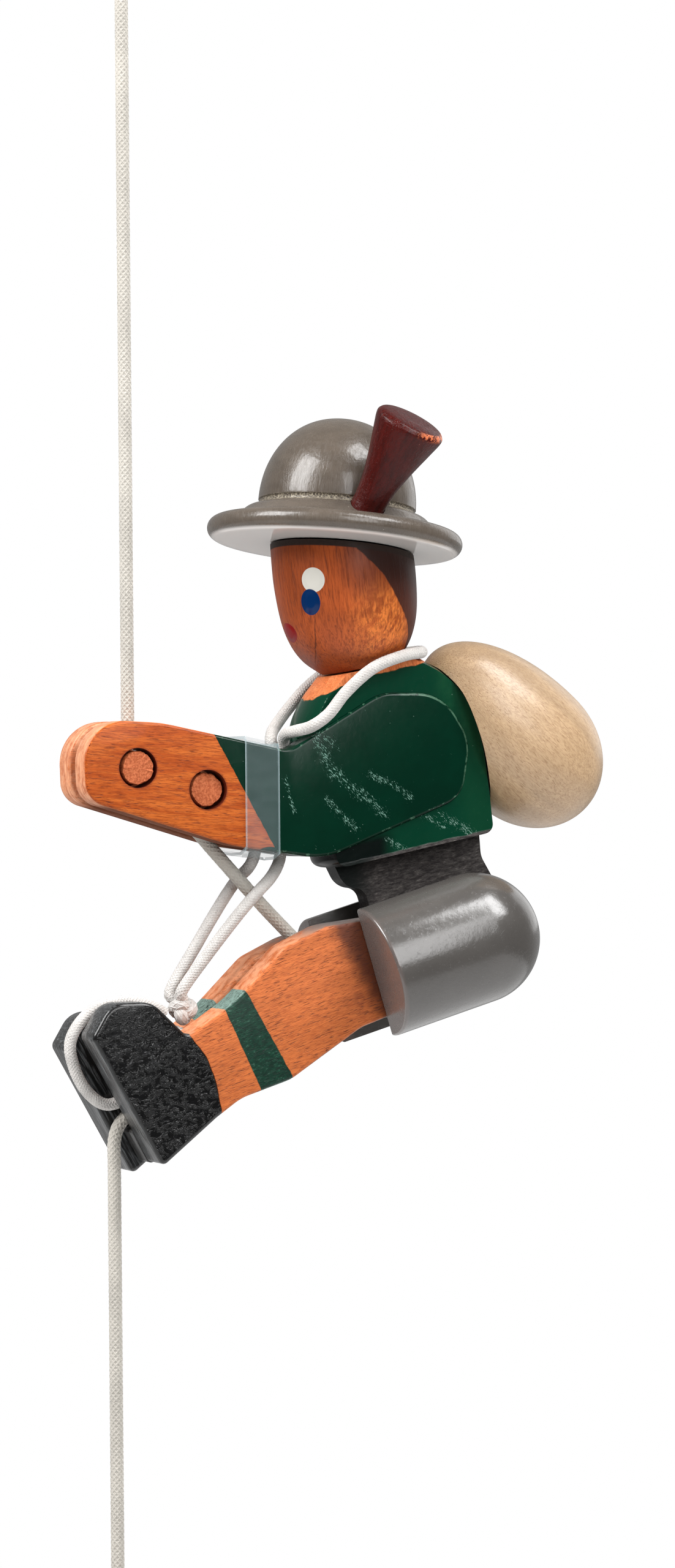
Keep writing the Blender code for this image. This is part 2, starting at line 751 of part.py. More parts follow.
def arm_inner():
    """Distance of an arm's inner face from the middle plane."""
    return STRING_DIAMETER / 2.0 + SEAT_GAP


def arm_outer():
    """Distance of an arm's outer face from the middle plane."""
    return arm_inner() + ARM_THICKNESS


def make_arms(figure, material):
    """Both arms: boards with the hands at their ends, drilled for the pegs."""
    outline = rounded_outline(ARM_CORNERS)
    pegs = (("front", FRONT_PEG_X, 0.0), ("rear", REAR_PEG_X, REAR_PEG_Z))
    for side, sign, play in (("left", -1.0, PEG_HOLE_PLAY), ("right", 1.0, SEAT_GAP)):
        near, far = sorted((sign * arm_inner(), sign * arm_outer()))
        name = "arm_" + side
        arm = add_object(name, prism(name, outline, near, far), figure, Matrix.Identity(4), material)
        soften(arm, SOFT_EDGE)
        for end, x, z in pegs:
            bore = cross_rod(end + "_bore_" + side, figure, x, z, PEG_RADIUS + play, near - MM, far + MM)
            combine(arm, bore, "DIFFERENCE")
    for end, x, z in pegs:
        name = "hand_peg_" + end
        cross_rod(name, figure, x, z, PEG_RADIUS, -arm_outer() + PEG_RECESS, arm_outer() - SEAT_GAP, material)


def edge_height(outline, x, top):
    """Height where an outline crosses x, on its upper or lower side."""
    heights = []
    for a, b in zip(outline, outline[1:] + outline[:1]):
        if min(a.x, b.x) <= x <= max(a.x, b.x) and abs(a.x - b.x) > 1e-9:
            heights.append(a.y + (b.y - a.y) * (x - a.x) / (b.x - a.x))
    return max(heights) if top else min(heights)


def band_ring(outline, x, wall):
    """The band's cross-section at x, its own wall thickness further out."""
    half = arm_outer() + SEAT_GAP + wall
    top = edge_height(outline, x, True) + SEAT_GAP + wall
    bottom = edge_height(outline, x, False) - SEAT_GAP - wall
    corner = SOFT_EDGE * 0.8
    ring = [(-half, top - corner), (-half + corner, top), (half - corner, top), (half, top - corner)]
    ring += [(half, bottom + corner), (half * 0.6, bottom - BAND_SAG * 0.7), (0.0, bottom - BAND_SAG)]
    ring += [(-half * 0.6, bottom - BAND_SAG * 0.7), (-half, bottom + corner)]
    return [(x, y, z) for y, z in ring]


def make_band(figure, material):
    """The clear band: a thin loop round both forearms, slit for the elastic."""
    outline = rounded_outline(ARM_CORNERS)
    steps = 6

    def build(shape):
        inner = []
        outer = []
        for step in range(steps + 1):
            x = BAND_FRONT_X + (BAND_REAR_X - BAND_FRONT_X) * step / steps
            inner.append([shape.verts.new(point) for point in band_ring(outline, x, 0.0)])
            outer.append([shape.verts.new(point) for point in band_ring(outline, x, BAND_WALL)])
        bands = list(zip(inner, inner[1:])) + list(zip(outer, outer[1:]))
        for a, b in bands + [(inner[0], outer[0]), (inner[-1], outer[-1])]:
            for index in range(len(a)):
                after = (index + 1) % len(a)
                shape.faces.new((a[index], a[after], b[after], b[index]))

    band = add_object("arm_band", mesh_from("arm_band", build), figure, Matrix.Identity(4), material)
    start, end = (Vector(point) * MM for point in RIGHT_STRAND_ROUTE[:2])
    slit = turning("band_slit", rod_profile(BAND_SLIT / 2.0, -2.0 * MM, 4.0 * MM), SMALL_ROUND_SIDES)
    turn = (start - end).to_track_quat("Z", "Y").to_matrix().to_4x4()
    cutter = add_object("band_slit", slit, figure, Matrix.Translation(end) @ turn, None)
    combine(band, cutter, "DIFFERENCE")


def egg_profile():
    """An egg: two half ellipses that meet at its widest place."""
    profile = []
    steps = 18
    for step in range(steps + 1):
        share = 0.5 - 0.5 * math.cos(math.pi * step / steps)
        span = PACK_WIDEST if share < PACK_WIDEST else 1.0 - PACK_WIDEST
        radius = PACK_RADIUS * math.sqrt(max(0.0, 1.0 - ((share - PACK_WIDEST) / span) ** 2))
        profile.append((radius if 0 < step < steps else 0.0, -share * PACK_LENGTH))
    return profile


def make_backpack(figure, material):
    """The backpack: a turned egg, hollowed where it sits on the torso's back."""
    frame = place(PACK_TOP_X, PACK_TOP_Z, PACK_SLOPE - 90.0)
    pack = add_object("backpack", turning("backpack", egg_profile(), 32), figure, frame, material)
    back = turning("pack_seat", torso_profile(SEAT_GAP), 2 * SMALL_ROUND_SIDES)
    combine(pack, add_object("pack_seat", back, figure, torso_frame(), None), "DIFFERENCE")
    combine(pack, dowel_bore("pack_bore", figure, pack_dowel_frame(), PACK_DOWEL_OUT), "DIFFERENCE")
    make_dowel("backpack_dowel", figure, pack_dowel_frame(), PACK_DOWEL_IN, PACK_DOWEL_OUT, material)


def leg_inner():
    """Distance of a leg's inner face from the middle plane."""
    return TONGUE_THICKNESS / 2.0 + PIVOT_GAP


def leg_outer():
    """Distance of a leg's outer face from the middle plane."""
    return leg_inner() + LEG_THICKNESS


def glued_place(side):
    """Where a leg is glued: the right one sits a little forward and lower."""
    if side == "left":
        return Matrix.Identity(4)
    return Matrix.Translation((-FAR_LEG_FORWARD, 0.0, -FAR_LEG_DROP))


def make_legs(hip, material):
    """Both legs with their shoes, and the pegs and the block between them."""
    corners = [(x - HIP_X / MM, z - HIP_Z / MM, radius) for x, z, radius in LEG_CORNERS]
    outline = rounded_outline(corners)
    pegs = (
        ("knee_peg", KNEE_PEG_X - HIP_X, KNEE_PEG_Z - HIP_Z, KNEE_PEG_RADIUS),
        ("toe_peg", TOE_PEG_X - HIP_X, TOE_PEG_Z - HIP_Z, TOE_PEG_RADIUS),
    )
    for side, sign in (("left", -1.0), ("right", 1.0)):
        near, far = sorted((sign * leg_inner(), sign * leg_outer()))
        name = "leg_" + side
        leg = add_object(name, prism(name, outline, near, far), hip, glued_place(side), material)
        soften(leg, SOFT_EDGE)
        bore = cross_rod("hip_bore_" + side, hip, 0.0, 0.0, HIP_PIN_RADIUS + SEAT_GAP, near - MM, far + MM)
        combine(leg, bore, "DIFFERENCE")
        for peg, x, z, radius in pegs:
            ends = sorted((sign * (leg_inner() - MM), sign * (leg_inner() + PEG_SOCKET + SEAT_GAP)))
            socket = cross_rod(peg + "_socket_" + side, hip, x, z, radius + SEAT_GAP, *ends)
            combine(leg, socket, "DIFFERENCE")
    for peg, x, z, radius in pegs:
        half = leg_inner() + PEG_SOCKET
        cross_rod(peg, hip, x, z, radius, -half, half, material)
    cross_rod("hip_pin", hip, 0.0, 0.0, HIP_PIN_RADIUS, -leg_outer(), leg_outer(), material)
    corners = [(x - HIP_X / MM, z - HIP_Z / MM, radius) for x, z, radius in SPACER_CORNERS]
    half = leg_inner() - SEAT_GAP
    block = prism("foot_spacer", rounded_outline(corners), -half, half)
    add_object("foot_spacer", block, hip, Matrix.Identity(4), material)


def make_trousers(hip, material):
    """Both trouser legs: a turned bullet, split lengthwise, one half on each leg."""
    profile = [(0.0, -TROUSER_LENGTH), (TROUSER_RADIUS - 0.4 * MM, -TROUSER_LENGTH)]
    profile.append((TROUSER_RADIUS, -TROUSER_LENGTH + 0.4 * MM))
    for step in range(10):
        angle = math.radians(90.0 * step / 9)
        radius = TROUSER_RADIUS * math.cos(angle) if step < 9 else 0.0
        profile.append((radius, TROUSER_RADIUS * math.sin(angle)))
    lie = Matrix.Rotation(math.radians(90.0 - TROUSER_SLOPE), 4, "Y")
    for side, sign in (("left", -1.0), ("right", 1.0)):
        name = "trouser_" + side
        mesh = turning(name, profile, ROUND_SIDES)
        half = bmesh.new()
        half.from_mesh(mesh)
        cut = bmesh.ops.bisect_plane(
            half,
            geom=half.verts[:] + half.edges[:] + half.faces[:],
            plane_co=(0.0, 0.0, 0.0),
            plane_no=(0.0, -sign, 0.0),
            clear_outer=True,
            dist=0.001 * MM,
        )
        rim = [item for item in cut["geom_cut"] if isinstance(item, bmesh.types.BMEdge)]
        bmesh.ops.holes_fill(half, edges=rim)
        half.to_mesh(mesh)
        half.free()
        face = Matrix.Translation((0.0, sign * (leg_outer() + SEAT_GAP), 0.0))
        add_object(name, mesh, hip, glued_place(side) @ face @ lie, material)


def make_elastic(figure, hip, elastic):
    """The elastic: round the neck, down between the arms, to the toes."""
    cord("elastic_neck_loop", NECK_ROUTE, ELASTIC_DIAMETER, figure, elastic)
    cord("elastic_strand_left", LEFT_STRAND_ROUTE, ELASTIC_DIAMETER, figure, elastic)
    cord("elastic_strand_right", RIGHT_STRAND_ROUTE, ELASTIC_DIAMETER, figure, elastic)
    centre = (ELASTIC_KNOT_X - HIP_X, 0.0, ELASTIC_KNOT_Z - HIP_Z)
    knot("elastic_knot", hip, centre, elastic)
    cord("elastic_toe_loop", about_hip(TOE_ROUTE), ELASTIC_DIAMETER, hip, elastic)


def main():
    clear_scene()
    figure = empty("figure_frame", None, (0.0, 0.0, -HANG_DROP))
    hip = empty("hip_pivot", figure, (HIP_X, 0.0, HIP_Z))
    green = paint("green_lacquer", (0.0, 0.055, 0.025), 0.25)
    make_torso(figure, green)
    make_head(figure, paint("stained_wood", (0.38, 0.1, 0.03), 0.45))
    make_hat(figure, paint("hat_lacquer", (0.17, 0.14, 0.12), 0.3))
    make_plume(figure, paint("plume_lacquer", (0.11, 0.01, 0.006), 0.35))
    make_arms(figure, paint("arm_wood", (0.52, 0.12, 0.03), 0.45))
    make_band(figure, paint("clear_film", (0.8, 0.8, 0.8), 0.1))
    make_backpack(figure, paint("pale_wood", (0.6, 0.42, 0.22), 0.4))
    make_legs(hip, paint("leg_wood", (0.75, 0.24, 0.07), 0.5))
    make_trousers(hip, paint("trouser_lacquer", (0.16, 0.15, 0.14), 0.4))
    cotton = paint("cotton", (0.75, 0.72, 0.68), 0.9)
    make_elastic(figure, hip, paint("elastic_cover", (0.8, 0.79, 0.77), 0.9))
    make_hanging_loop(cotton)
    make_string_runs(figure, hip, cotton)
    make_pull_bead(paint("bead_wood", (0.55, 0.16, 0.05), 0.45), cotton)


main()
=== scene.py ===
"""Dress for the climbing figure toy: turned and sawn wood, lacquer, cord and a studio.

Lengths in this file are millimetres in the figure's own frame, whose origin is on the
string, level with the front hand peg. The row frame's origin is 166 mm above it.
"""

import math
from functools import partial, reduce

import bmesh
import bpy
import numpy as np
from mathutils import Matrix, Vector


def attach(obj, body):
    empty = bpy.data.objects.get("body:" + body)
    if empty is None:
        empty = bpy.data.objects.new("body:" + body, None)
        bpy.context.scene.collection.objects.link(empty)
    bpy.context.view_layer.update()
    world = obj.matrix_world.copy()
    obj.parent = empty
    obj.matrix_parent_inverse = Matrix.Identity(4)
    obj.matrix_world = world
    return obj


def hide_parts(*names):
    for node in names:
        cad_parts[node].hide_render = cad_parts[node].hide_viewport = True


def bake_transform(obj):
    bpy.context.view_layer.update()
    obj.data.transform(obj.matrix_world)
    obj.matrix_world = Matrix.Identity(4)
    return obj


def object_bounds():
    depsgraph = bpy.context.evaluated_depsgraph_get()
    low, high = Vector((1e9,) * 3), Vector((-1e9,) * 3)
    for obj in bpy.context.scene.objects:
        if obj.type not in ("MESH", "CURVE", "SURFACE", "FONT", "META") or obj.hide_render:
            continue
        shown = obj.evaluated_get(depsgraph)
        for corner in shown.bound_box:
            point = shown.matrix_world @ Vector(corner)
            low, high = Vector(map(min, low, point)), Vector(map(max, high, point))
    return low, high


bl_info = {
    "name": "Climbing figure toy",
    "version": (1, 0, 0),
    "blender": (4, 5, 0),
    "location": "3D View > Sidebar > Toy",
    "description": "Wood, lacquer, cord and studio of a climbing figure toy",
    "category": "Object",
}

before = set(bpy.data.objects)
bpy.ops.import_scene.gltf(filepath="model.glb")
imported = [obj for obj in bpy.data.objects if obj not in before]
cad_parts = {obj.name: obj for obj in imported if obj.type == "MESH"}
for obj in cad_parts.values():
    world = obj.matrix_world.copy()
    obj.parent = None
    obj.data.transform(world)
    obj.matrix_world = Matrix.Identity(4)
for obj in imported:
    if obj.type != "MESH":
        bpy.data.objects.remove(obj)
CAD_BOX = [list(corner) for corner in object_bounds()]

MM = 0.001
HANG_DROP = 166.0
TO_ROW = Matrix.Scale(MM, 4) @ Matrix.Translation((0.0, 0.0, -HANG_DROP))


def flat(*points):
    """Points of x and z in the middle plane."""
    return tuple((x, 0.0, z) for x, z in points)


# Fits, bores and dowels: a glued seat has a gap, and a cutter passes what it cuts
SEAT_GAP = 0.3
PAINTED_GAP = 0.04
PIN_BORE = 2.3
CUT_THROUGH = 60.0
DOWEL_RADIUS = 2.0
HEAD_DOWEL_DOWN = 3.8
HEAD_DOWEL_UP = 8.0
PACK_DOWEL_IN = 3.6
PACK_DOWEL_OUT = 6.4
BORE_PAST = 1.0
PEG_SOCKET = 3.0

# Softened edges: width, segments, and the least angle of an edge that is softened
ARM_EDGE = (0.6, 4, 50.0)
LEG_EDGE = (0.75, 4, 50.0)
BLOCK_EDGE = (0.15, 2, 50.0)
HEAD_EDGE = (0.25, 3, 50.0)
TROUSER_EDGE = (0.3, 3, 60.0)

# Degrees between the points of a board's rounded corner
FILLET_STEP = 5.0

# Facets round a turned piece
HAT_FACETS = 160
TROUSER_FACETS = 144
BARREL_FACETS = 120
PLUME_FACETS = 96
BEAD_FACETS = 72
BORE_FACETS = 64
HOLE_FACETS = 48
PIN_FACETS = 40
DOWEL_FACETS = 32
CUTTER_FACETS = 8
FLOOR_FACETS = 96

# Boards: faces as distances from the middle plane, pegs and corners as x, z and radius
ARM_INNER = 1.5
ARM_OUTER = 7.1
LEG_INNER = 2.6
LEG_OUTER = 10.0
TORSO_HALF = 6.5
TONGUE_HALF = 2.3
SIDES = (("left", -1.0), ("right", 1.0))
LEG_SHIFT = {"left": (0.0, 0.0), "right": (-1.2, -2.2)}
# Pegs across the hands, with their holes in each board and how deep their ends sit
PEGS = (("front", -0.6, 0.0), ("rear", 12.4, -3.9))
PEG_HOLE = {"left": 3.5, "right": 3.3}
PEG_SUNK = {"front": 0.25, "rear": 0.9}
FIRST_PEG_SEED = 11
HIP = (61.8, -31.0)
LEG_PEGS = ((31.3, -37.4, 2.5), (-0.2, -49.8, 3.0))
ARM_CORNERS = (
    (-10.7, 8.7, 7.4), (-10.3, -5.6, 4.5), (17.0, -13.9, 30.0), (34.6, -16.4, 14.0),
    (61.4, -5.6, 6.0), (62.9, 4.6, 8.0), (57.6, 13.1, 9.0), (45.4, 13.1, 9.0),
    (27.8, 2.9, 4.0), (4.0, 7.9, 25.0),
)
LEG_CORNERS = (
    (70.4, -23.6, 8.0), (33.1, -28.2, 12.0), (25.4, -31.9, 6.0), (16.0, -41.2, 20.0),
    (7.2, -47.0, 1.5), (0.8, -40.9, 4.5), (-6.9, -40.9, 4.5), (-10.4, -46.8, 1.5),
    (2.4, -69.7, 1.0), (12.6, -61.4, 5.0), (17.2, -58.2, 10.0), (26.6, -55.2, 8.0),
    (40.1, -46.4, 8.0), (47.6, -43.8, 8.0), (70.4, -40.6, 8.0),
)
TONGUE_CORNERS = (
    (41.0, -6.0, 1.0), (36.1, -13.8, 1.0), (40.1, -21.6, 4.0), (43.9, -22.0, 2.5),
    (46.5, -30.4, 4.0), (54.4, -39.6, 6.0), (70.0, -39.2, 8.0), (71.0, -23.6, 6.0),
    (66.8, -16.4, 4.0), (66.0, -6.0, 1.0),
)
SPACER_CORNERS = ((9.6, -57.9, 0.5), (-0.8, -63.8, 0.5), (2.6, -70.0, 1.0), (12.3, -62.0, 1.5))

# Turned pieces
TORSO_TOP = (45.8, 17.9)
TORSO_HEIGHT = 33.6
TORSO_LEAN = 11.5
CHEST = 17.6
SHOULDER = 13.4
NECK_RADIUS = 9.2
NECK_FORWARD = 2.3
HEM = 16.8
HEM_EDGE = 1.7
HEAD_LEAN = 7.0
HEAD_HEIGHT = 22.2
HEAD_RADIUS = 12.8
CHIN_RADIUS = 5.9
SPIGOT_RADIUS = 7.0
SPIGOT_LENGTH = 8.0
SOCKET_DEPTH = 8.6
HAT_FORWARD = 1.35
HAT_PITCH = 6.4
HAT_ROLL = 3.0
BRIM_RADIUS = 23.0
BRIM_RIM = 3.9
CROWN_BASE = 6.7
CROWN_RADIUS = 14.2
CROWN_HEIGHT = 16.6
PLUME_LENGTH = 17.6
PLUME_BASE = 3.0
PLUME_TOP = 6.4
PLUME_OUT = 16.2
PLUME_FORWARD = 0.6
PLUME_TENON = 1.7
PLUME_WAY = (0.314, -0.44, 0.841)
# The plume's hole: play, bottom and top; the brim falls by this share of its rise
PLUME_HOLE = (0.12, -2.0, 5.1)
BRIM_FALL = 0.8
PACK_TIP = (58.5, 20.2)
PACK_TILT = 43.5
PACK_SEAT_DOWN = 13.0
PACK_LENGTH = 40.8
PACK_RADIUS = 13.1
PACK_WIDEST = 0.62
TROUSER_RADIUS = 11.8
TROUSER_LENGTH = 20.2
TROUSER_SLOPE = 16.5

# Cords
STRING = 2.4
ELASTIC = 2.2
STRING_EXIT = -3.2
LEAD_TOP = -70.3
LEAD_BOTTOM = -112.0
BEAD_TOP = -145.5
BEAD_RADIUS = 6.0
BEAD_HEIGHT = 11.0
BEAD_PLAY = 0.15
KNOT_RADIUS = 2.7
KNOT_HEIGHT = 5.6
STRING_KNOT = 1.9
ELASTIC_KNOT = 2.7
ELASTIC_KNOT_PLACE = (9.9, 0.0, -42.9)
LOOP_HEIGHT = 19.5
LOOP_WIDTH = 10.4
OVERLAP = 0.6
TUCKED_SHARE = 0.85
HAND_ROUTE = flat(
    (0.0, 8.2), (0.0, 6.0), (1.7, 4.1), (3.7, 1.7), (4.6, -0.8),
    (6.0, -3.6), (8.8, -7.0), (12.0, -10.4), (15.6, -14.4),
)
LEG_ROUTE = flat((20.2, -19.4), (26.0, -25.6), (31.8, -31.4))
GUIDE_ROUTE = flat(
    (34.9, -34.8), (35.9, -37.9), (34.2, -41.1), (28.0, -44.9), (19.0, -50.3),
    (8.2, -56.5), (2.0, -59.8), (-1.6, -62.0), (-3.1, -65.2), (-3.2, -70.0),
)
BELOW_KNEE_PEG = (22.0, 0.0, -36.0)
NECK_ROUTE = (
    (28.9, 0.0, -14.0), (29.9, 0.0, -7.0), (29.9, 0.0, 0.4), (29.3, -0.4, 4.0),
    (28.9, -2.6, 5.8), (29.8, -5.4, 6.4), (31.8, -8.0, 7.2), (34.6, -9.2, 9.4),
    (37.9, -9.4, 13.3), (43.0, -9.7, 17.5), (48.9, -9.4, 19.7), (53.7, -6.0, 20.4),
    (55.5, 0.0, 20.7), (53.7, 6.0, 20.4), (48.9, 9.4, 19.7), (42.8, 9.8, 17.8),
    (38.0, 9.6, 14.6), (33.8, 8.6, 10.6), (30.2, 5.8, 7.4), (28.2, 2.6, 6.0),
    (27.2, 0.4, 4.4), (27.2, 0.0, 0.4), (25.6, 0.0, -7.0), (24.1, 0.0, -13.6),
)
STRAND_ROUTES = {
    "left": (
        NECK_ROUTE[0], (28.86, 0.0, -14.3), (28.3, -0.1, -17.0), (26.2, -1.6, -19.6),
        (23.2, -2.7, -22.2), (19.4, -2.8, -26.2), (13.4, -1.8, -33.8), (9.3, -1.4, -39.3),
    ),
    "right": (
        NECK_ROUTE[-1], (24.0, 0.0, -14.1), (23.5, 0.1, -16.3), (22.8, 1.0, -18.0),
        (21.6, 2.6, -19.7), (19.8, 3.1, -22.2), (16.8, 2.7, -26.4), (12.8, 1.9, -32.2),
        (8.1, 1.4, -39.5),
    ),
}
TOE_ROUTE = flat(
    (6.5, -43.4), (3.4, -41.8), (-0.9, -41.1), (-6.0, -42.0), (-9.5, -44.8),
    (-11.2, -48.4), (-10.4, -52.6), (-8.4, -56.4), (-5.4, -58.9), (-2.4, -58.8),
    (1.6, -56.6), (5.6, -53.0), (8.2, -49.2), (9.6, -46.1),
)

# Each kind's diameter, share of the braid's pitch, radius of a carrier and stiffness
CORDS = {"string": (STRING, 1.0, 0.22, "limp"), "elastic": (ELASTIC, 0.55, 0.16, "medium")}
CORD_WEAVE = 0.012
KNOT_THREAD = 0.2
KNOT_WEAVE = 0.03
BRAID_STEP = 0.3
KNOT_STEPS = 120
BEAD_STEPS = 48

# Paint: the hair's edge as height on the head and degrees round from the middle of the
# face, the neck's as x and z, the shoe's as z and x, and scuffs as lines with their reach
BAND_MIDDLE = 22.45
HAIR_EDGE = (
    (0.0, 150.0), (4.0, 138.0), (6.6, 130.0), (11.4, 114.0), (16.3, 101.0), (21.5, 81.0),
)
NECK_EDGE = (
    (22.0, 2.0), (29.5, 7.8), (31.5, 9.6), (33.8, 11.8),
    (38.1, 14.3), (44.0, 16.2), (50.0, 17.5), (62.0, 19.6),
)
ANKLE = (
    (-61.5, 13.6), (-60.5, 13.4), (-54.6, 12.2), (-50.7, 10.6), (-46.9, 7.6), (-40.0, 7.4),
)
TORSO_SCUFFS = (
    ((52.5, -8.0), (57.5, -11.0), 1.3), ((57.0, -8.6), (64.0, -12.4), 1.8),
    ((46.5, -13.0), (50.5, -15.2), 1.2), ((29.5, -10.0), (31.0, -13.5), 0.8),
)
ARM_SCUFFS = (
    ((31.5, 7.2), (36.5, 3.6), 1.9), ((33.0, 5.4), (36.0, -1.4), 2.2),
    ((35.0, 0.6), (41.5, -5.4), 1.9), ((41.5, -4.4), (46.0, -8.6), 2.0),
    ((35.0, -6.0), (40.4, -11.0), 1.6), ((43.2, -1.4), (47.6, -3.4), 1.5),
    ((47.6, -3.4), (51.0, -5.6), 1.5), ((27.0, -2.0), (28.5, -8.0), 0.9),
)

# Studio, in metres, degrees and the photo's pixels
FLOOR_DROP = 0.5
FLOOR_RADIUS = 1.6
VIEW_AZIMUTH = -22.0
VIEW_ROLL = -0.0088
VIEW_TARGET = (0.0398, 0.0, -0.1691)
PHOTO_HEIGHT = 2560
PHOTO_PIXELS_PER_MM = 9.09


# ---- shader maths ----


def srgb(red, green, blue):
    """A screen colour as a linear one."""
    channels = (red, green, blue)
    return tuple(((c / 255.0 + 0.055) / 1.055) ** 2.4 if c > 10 else c / 3294.6 for c in channels)


def dim(colour, share):
    return tuple(channel * share for channel in colour)


class Value:
    """A socket of a finish: arithmetic on it adds Math nodes."""

    def __init__(self, finish, socket):
        self.finish = finish
        self.socket = socket

    def math(self, operation, *others):
        return self.finish.node("ShaderNodeMath", {"operation": operation}, [self, *others])

    def __add__(self, other):
        return self.math("ADD", other)

    def __mul__(self, other):
        return self.math("MULTIPLY", other)

    def __sub__(self, other):
        return self.math("SUBTRACT", other)

    def __rsub__(self, other):
        return self.finish.node("ShaderNodeMath", {"operation": "SUBTRACT"}, [other, self])

    def __abs__(self):
        return self.math("ABSOLUTE")

    __radd__ = __add__
    __rmul__ = __mul__

    def root(self):
        return self.math("SQRT")

    def least(self, other):
        return self.math("MINIMUM", other)

    def most(self, other):
        return self.math("MAXIMUM", other)

    def step(self, start, end):
        """0 before start, 1 after end, smooth between; start may be the larger."""
        if start > end:
            return 1.0 - self.step(end, start)
        settings = {"interpolation_type": "SMOOTHSTEP"}
        return self.finish.node("ShaderNodeMapRange", settings, [self, start, end, 0.0, 1.0])


class Finish:
    """A procedural material on Object coordinates, read as the figure's millimetres."""

    def __init__(self, name):
        self.material = bpy.data.materials.new(name)
        self.material.use_nodes = True
        self.tree = self.material.node_tree
        place = self.node("ShaderNodeTexCoord", output="Object")
        moved = {"Vector": place, "Location": (0.0, 0.0, HANG_DROP), "Scale": (1 / MM,) * 3}
        self.place = self.node("ShaderNodeMapping", {}, moved)
        self.x, self.y, self.z = self.split(self.place)

    def node(self, kind, settings=None, inputs=(), output=0):
        """Any node: its settings first, then the values or links of its sockets."""
        return Value(self, add_node(self.tree, kind, settings, inputs, output))

    def split(self, vector):
        node = self.node("ShaderNodeSeparateXYZ", {}, [vector]).socket.node
        return [Value(self, socket) for socket in node.outputs]

    def turned_place(self, matrix):
        """The place in a piece's own frame, given by its matrix in the figure's frame."""
        inverse = matrix.inverted()
        inputs = {"Vector": self.place, "Location": inverse.to_translation()}
        inputs["Rotation"] = inverse.to_euler("XYZ")
        return self.node("ShaderNodeMapping", {}, inputs)

    def noise(self, stretch, detail, rough, seed=0.0, distortion=0.0, place=None):
        """Noise of about 0.5, with its cells per millimetre, alike or along each axis."""
        scale = stretch if isinstance(stretch, tuple) else (stretch,) * 3
        moved = {"Vector": place or self.place, "Location": (seed * 7.3, seed * 3.1, seed * 5.7)}
        where = self.node("ShaderNodeMapping", {}, {**moved, "Scale": scale})
        inputs = {"Vector": where, "Scale": 1.0, "Detail": detail, "Roughness": rough}
        return self.node("ShaderNodeTexNoise", {}, {**inputs, "Distortion": distortion})

    def specks(self, scale, size, chance):
        """Scattered dust, a share of the cells holding one speck."""
        inputs = {"Vector": self.place, "Scale": scale}
        node = self.node("ShaderNodeTexVoronoi", {}, inputs).socket.node
        cell = self.node("ShaderNodeSeparateColor", {}, [Value(self, node.outputs["Color"])])
        spot = Value(self, node.outputs["Distance"]).step(size, size * 0.4)
        return spot * cell.step(1.0 - chance, 1.0 - chance + 0.01)

    def mix(self, factor, first, second):
        """A colour between two colours."""
        pair = [c if isinstance(c, Value) else (*c[:3], 1.0) for c in (first, second)]
        settings = {"data_type": "RGBA", "clamp_factor": True}
        return self.node("ShaderNodeMix", settings, {0: factor, 6: pair[0], 7: pair[1]}, 2)

    def coats(self, colour, *coats):
        """A colour under coats, each a mask and its own colour."""
        for mask, coat in coats:
            colour = self.mix(mask, colour, coat)
        return colour

    def away(self, point, stretch):
        """Distance from a point, each axis divided by its stretch."""
        axes = zip((self.x, self.y, self.z), point, stretch)
        x, y, z = [(value - at) * (1.0 / size) for value, at, size in axes]
        return (x * x + y * y + z * z).root()

    def off_line(self, start, end):
        """Distance from a line drawn on the side, in x and z."""
        (ax, az), (bx, bz) = start, end
        dx, dz = bx - ax, bz - az
        along = ((self.x - ax) * dx + (self.z - az) * dz) * (1.0 / (dx * dx + dz * dz))
        along = along.most(0.0).least(1.0)
        px = self.x - ax - along * dx
        pz = self.z - az - along * dz
        return (px * px + pz * pz).root()

    def beyond(self, start, end, wobble):
        """Distance past a wavy line on the side, on its right-hand side going down."""
        dx, dz = end[0] - start[0], end[1] - start[1]
        size = math.hypot(dx, dz)
        past = (self.x - start[0]) * (-dz / size) + (self.z - start[1]) * (dx / size)
        return past + wobble * 0.3

    def polyline(self, value, points):
        """A height that follows points of value and height."""
        total = points[0][1]
        for (a, h), (b, k) in zip(points, points[1:]):
            total = (value - a).most(0.0).least(b - a) * ((k - h) / (b - a)) + total
        return total

    def bump(self, height, distance, strength):
        """A normal from a height of 0 to 1, its depth in millimetres."""
        inputs = {"Strength": strength, "Distance": distance * MM, "Height": height}
        return self.node("ShaderNodeBump", {}, inputs)

    def close(self, colour, roughness, normal=None, specular=None, coat=(), **fixed):
        """Feed the shader. A coat is its weight and roughness; other values are fixed."""
        values = {"Base Color": colour, "Roughness": roughness}
        values.update(zip(("Coat Weight", "Coat Roughness"), coat))
        values.update({key.replace("_", " "): value for key, value in fixed.items()})
        if normal is not None:
            values["Normal"] = normal
        if specular is not None:
            values["Specular IOR Level"] = specular
        for key, value in values.items():
            socket = self.tree.nodes["Principled BSDF"].inputs[key]
            if isinstance(value, Value):
                self.tree.links.new(value.socket, socket)
            else:
                socket.default_value = (*value, 1.0) if isinstance(value, tuple) else value
        return self.material


def add_node(tree, kind, settings=None, inputs=(), output=0):
    """A node of any tree: settings, then the values or links of its sockets."""
    node = tree.nodes.new(kind)
    for key, value in (settings or {}).items():
        setattr(node, key, value)
    for key, value in inputs.items() if isinstance(inputs, dict) else enumerate(inputs):
        source = value.socket if isinstance(value, Value) else value
        if isinstance(source, bpy.types.NodeSocket):
            tree.links.new(source, node.inputs[key])
        else:
            node.inputs[key].default_value = source
    return node.outputs[output]


# ---- shapes ----


def lean(x, z, degrees):
    """A frame at x, z in the middle plane, its top leaned back."""
    return Matrix.Translation((x, 0.0, z)) @ turn(degrees)


def turn(degrees, axis="Y"):
    return Matrix.Rotation(math.radians(degrees), 4, axis)


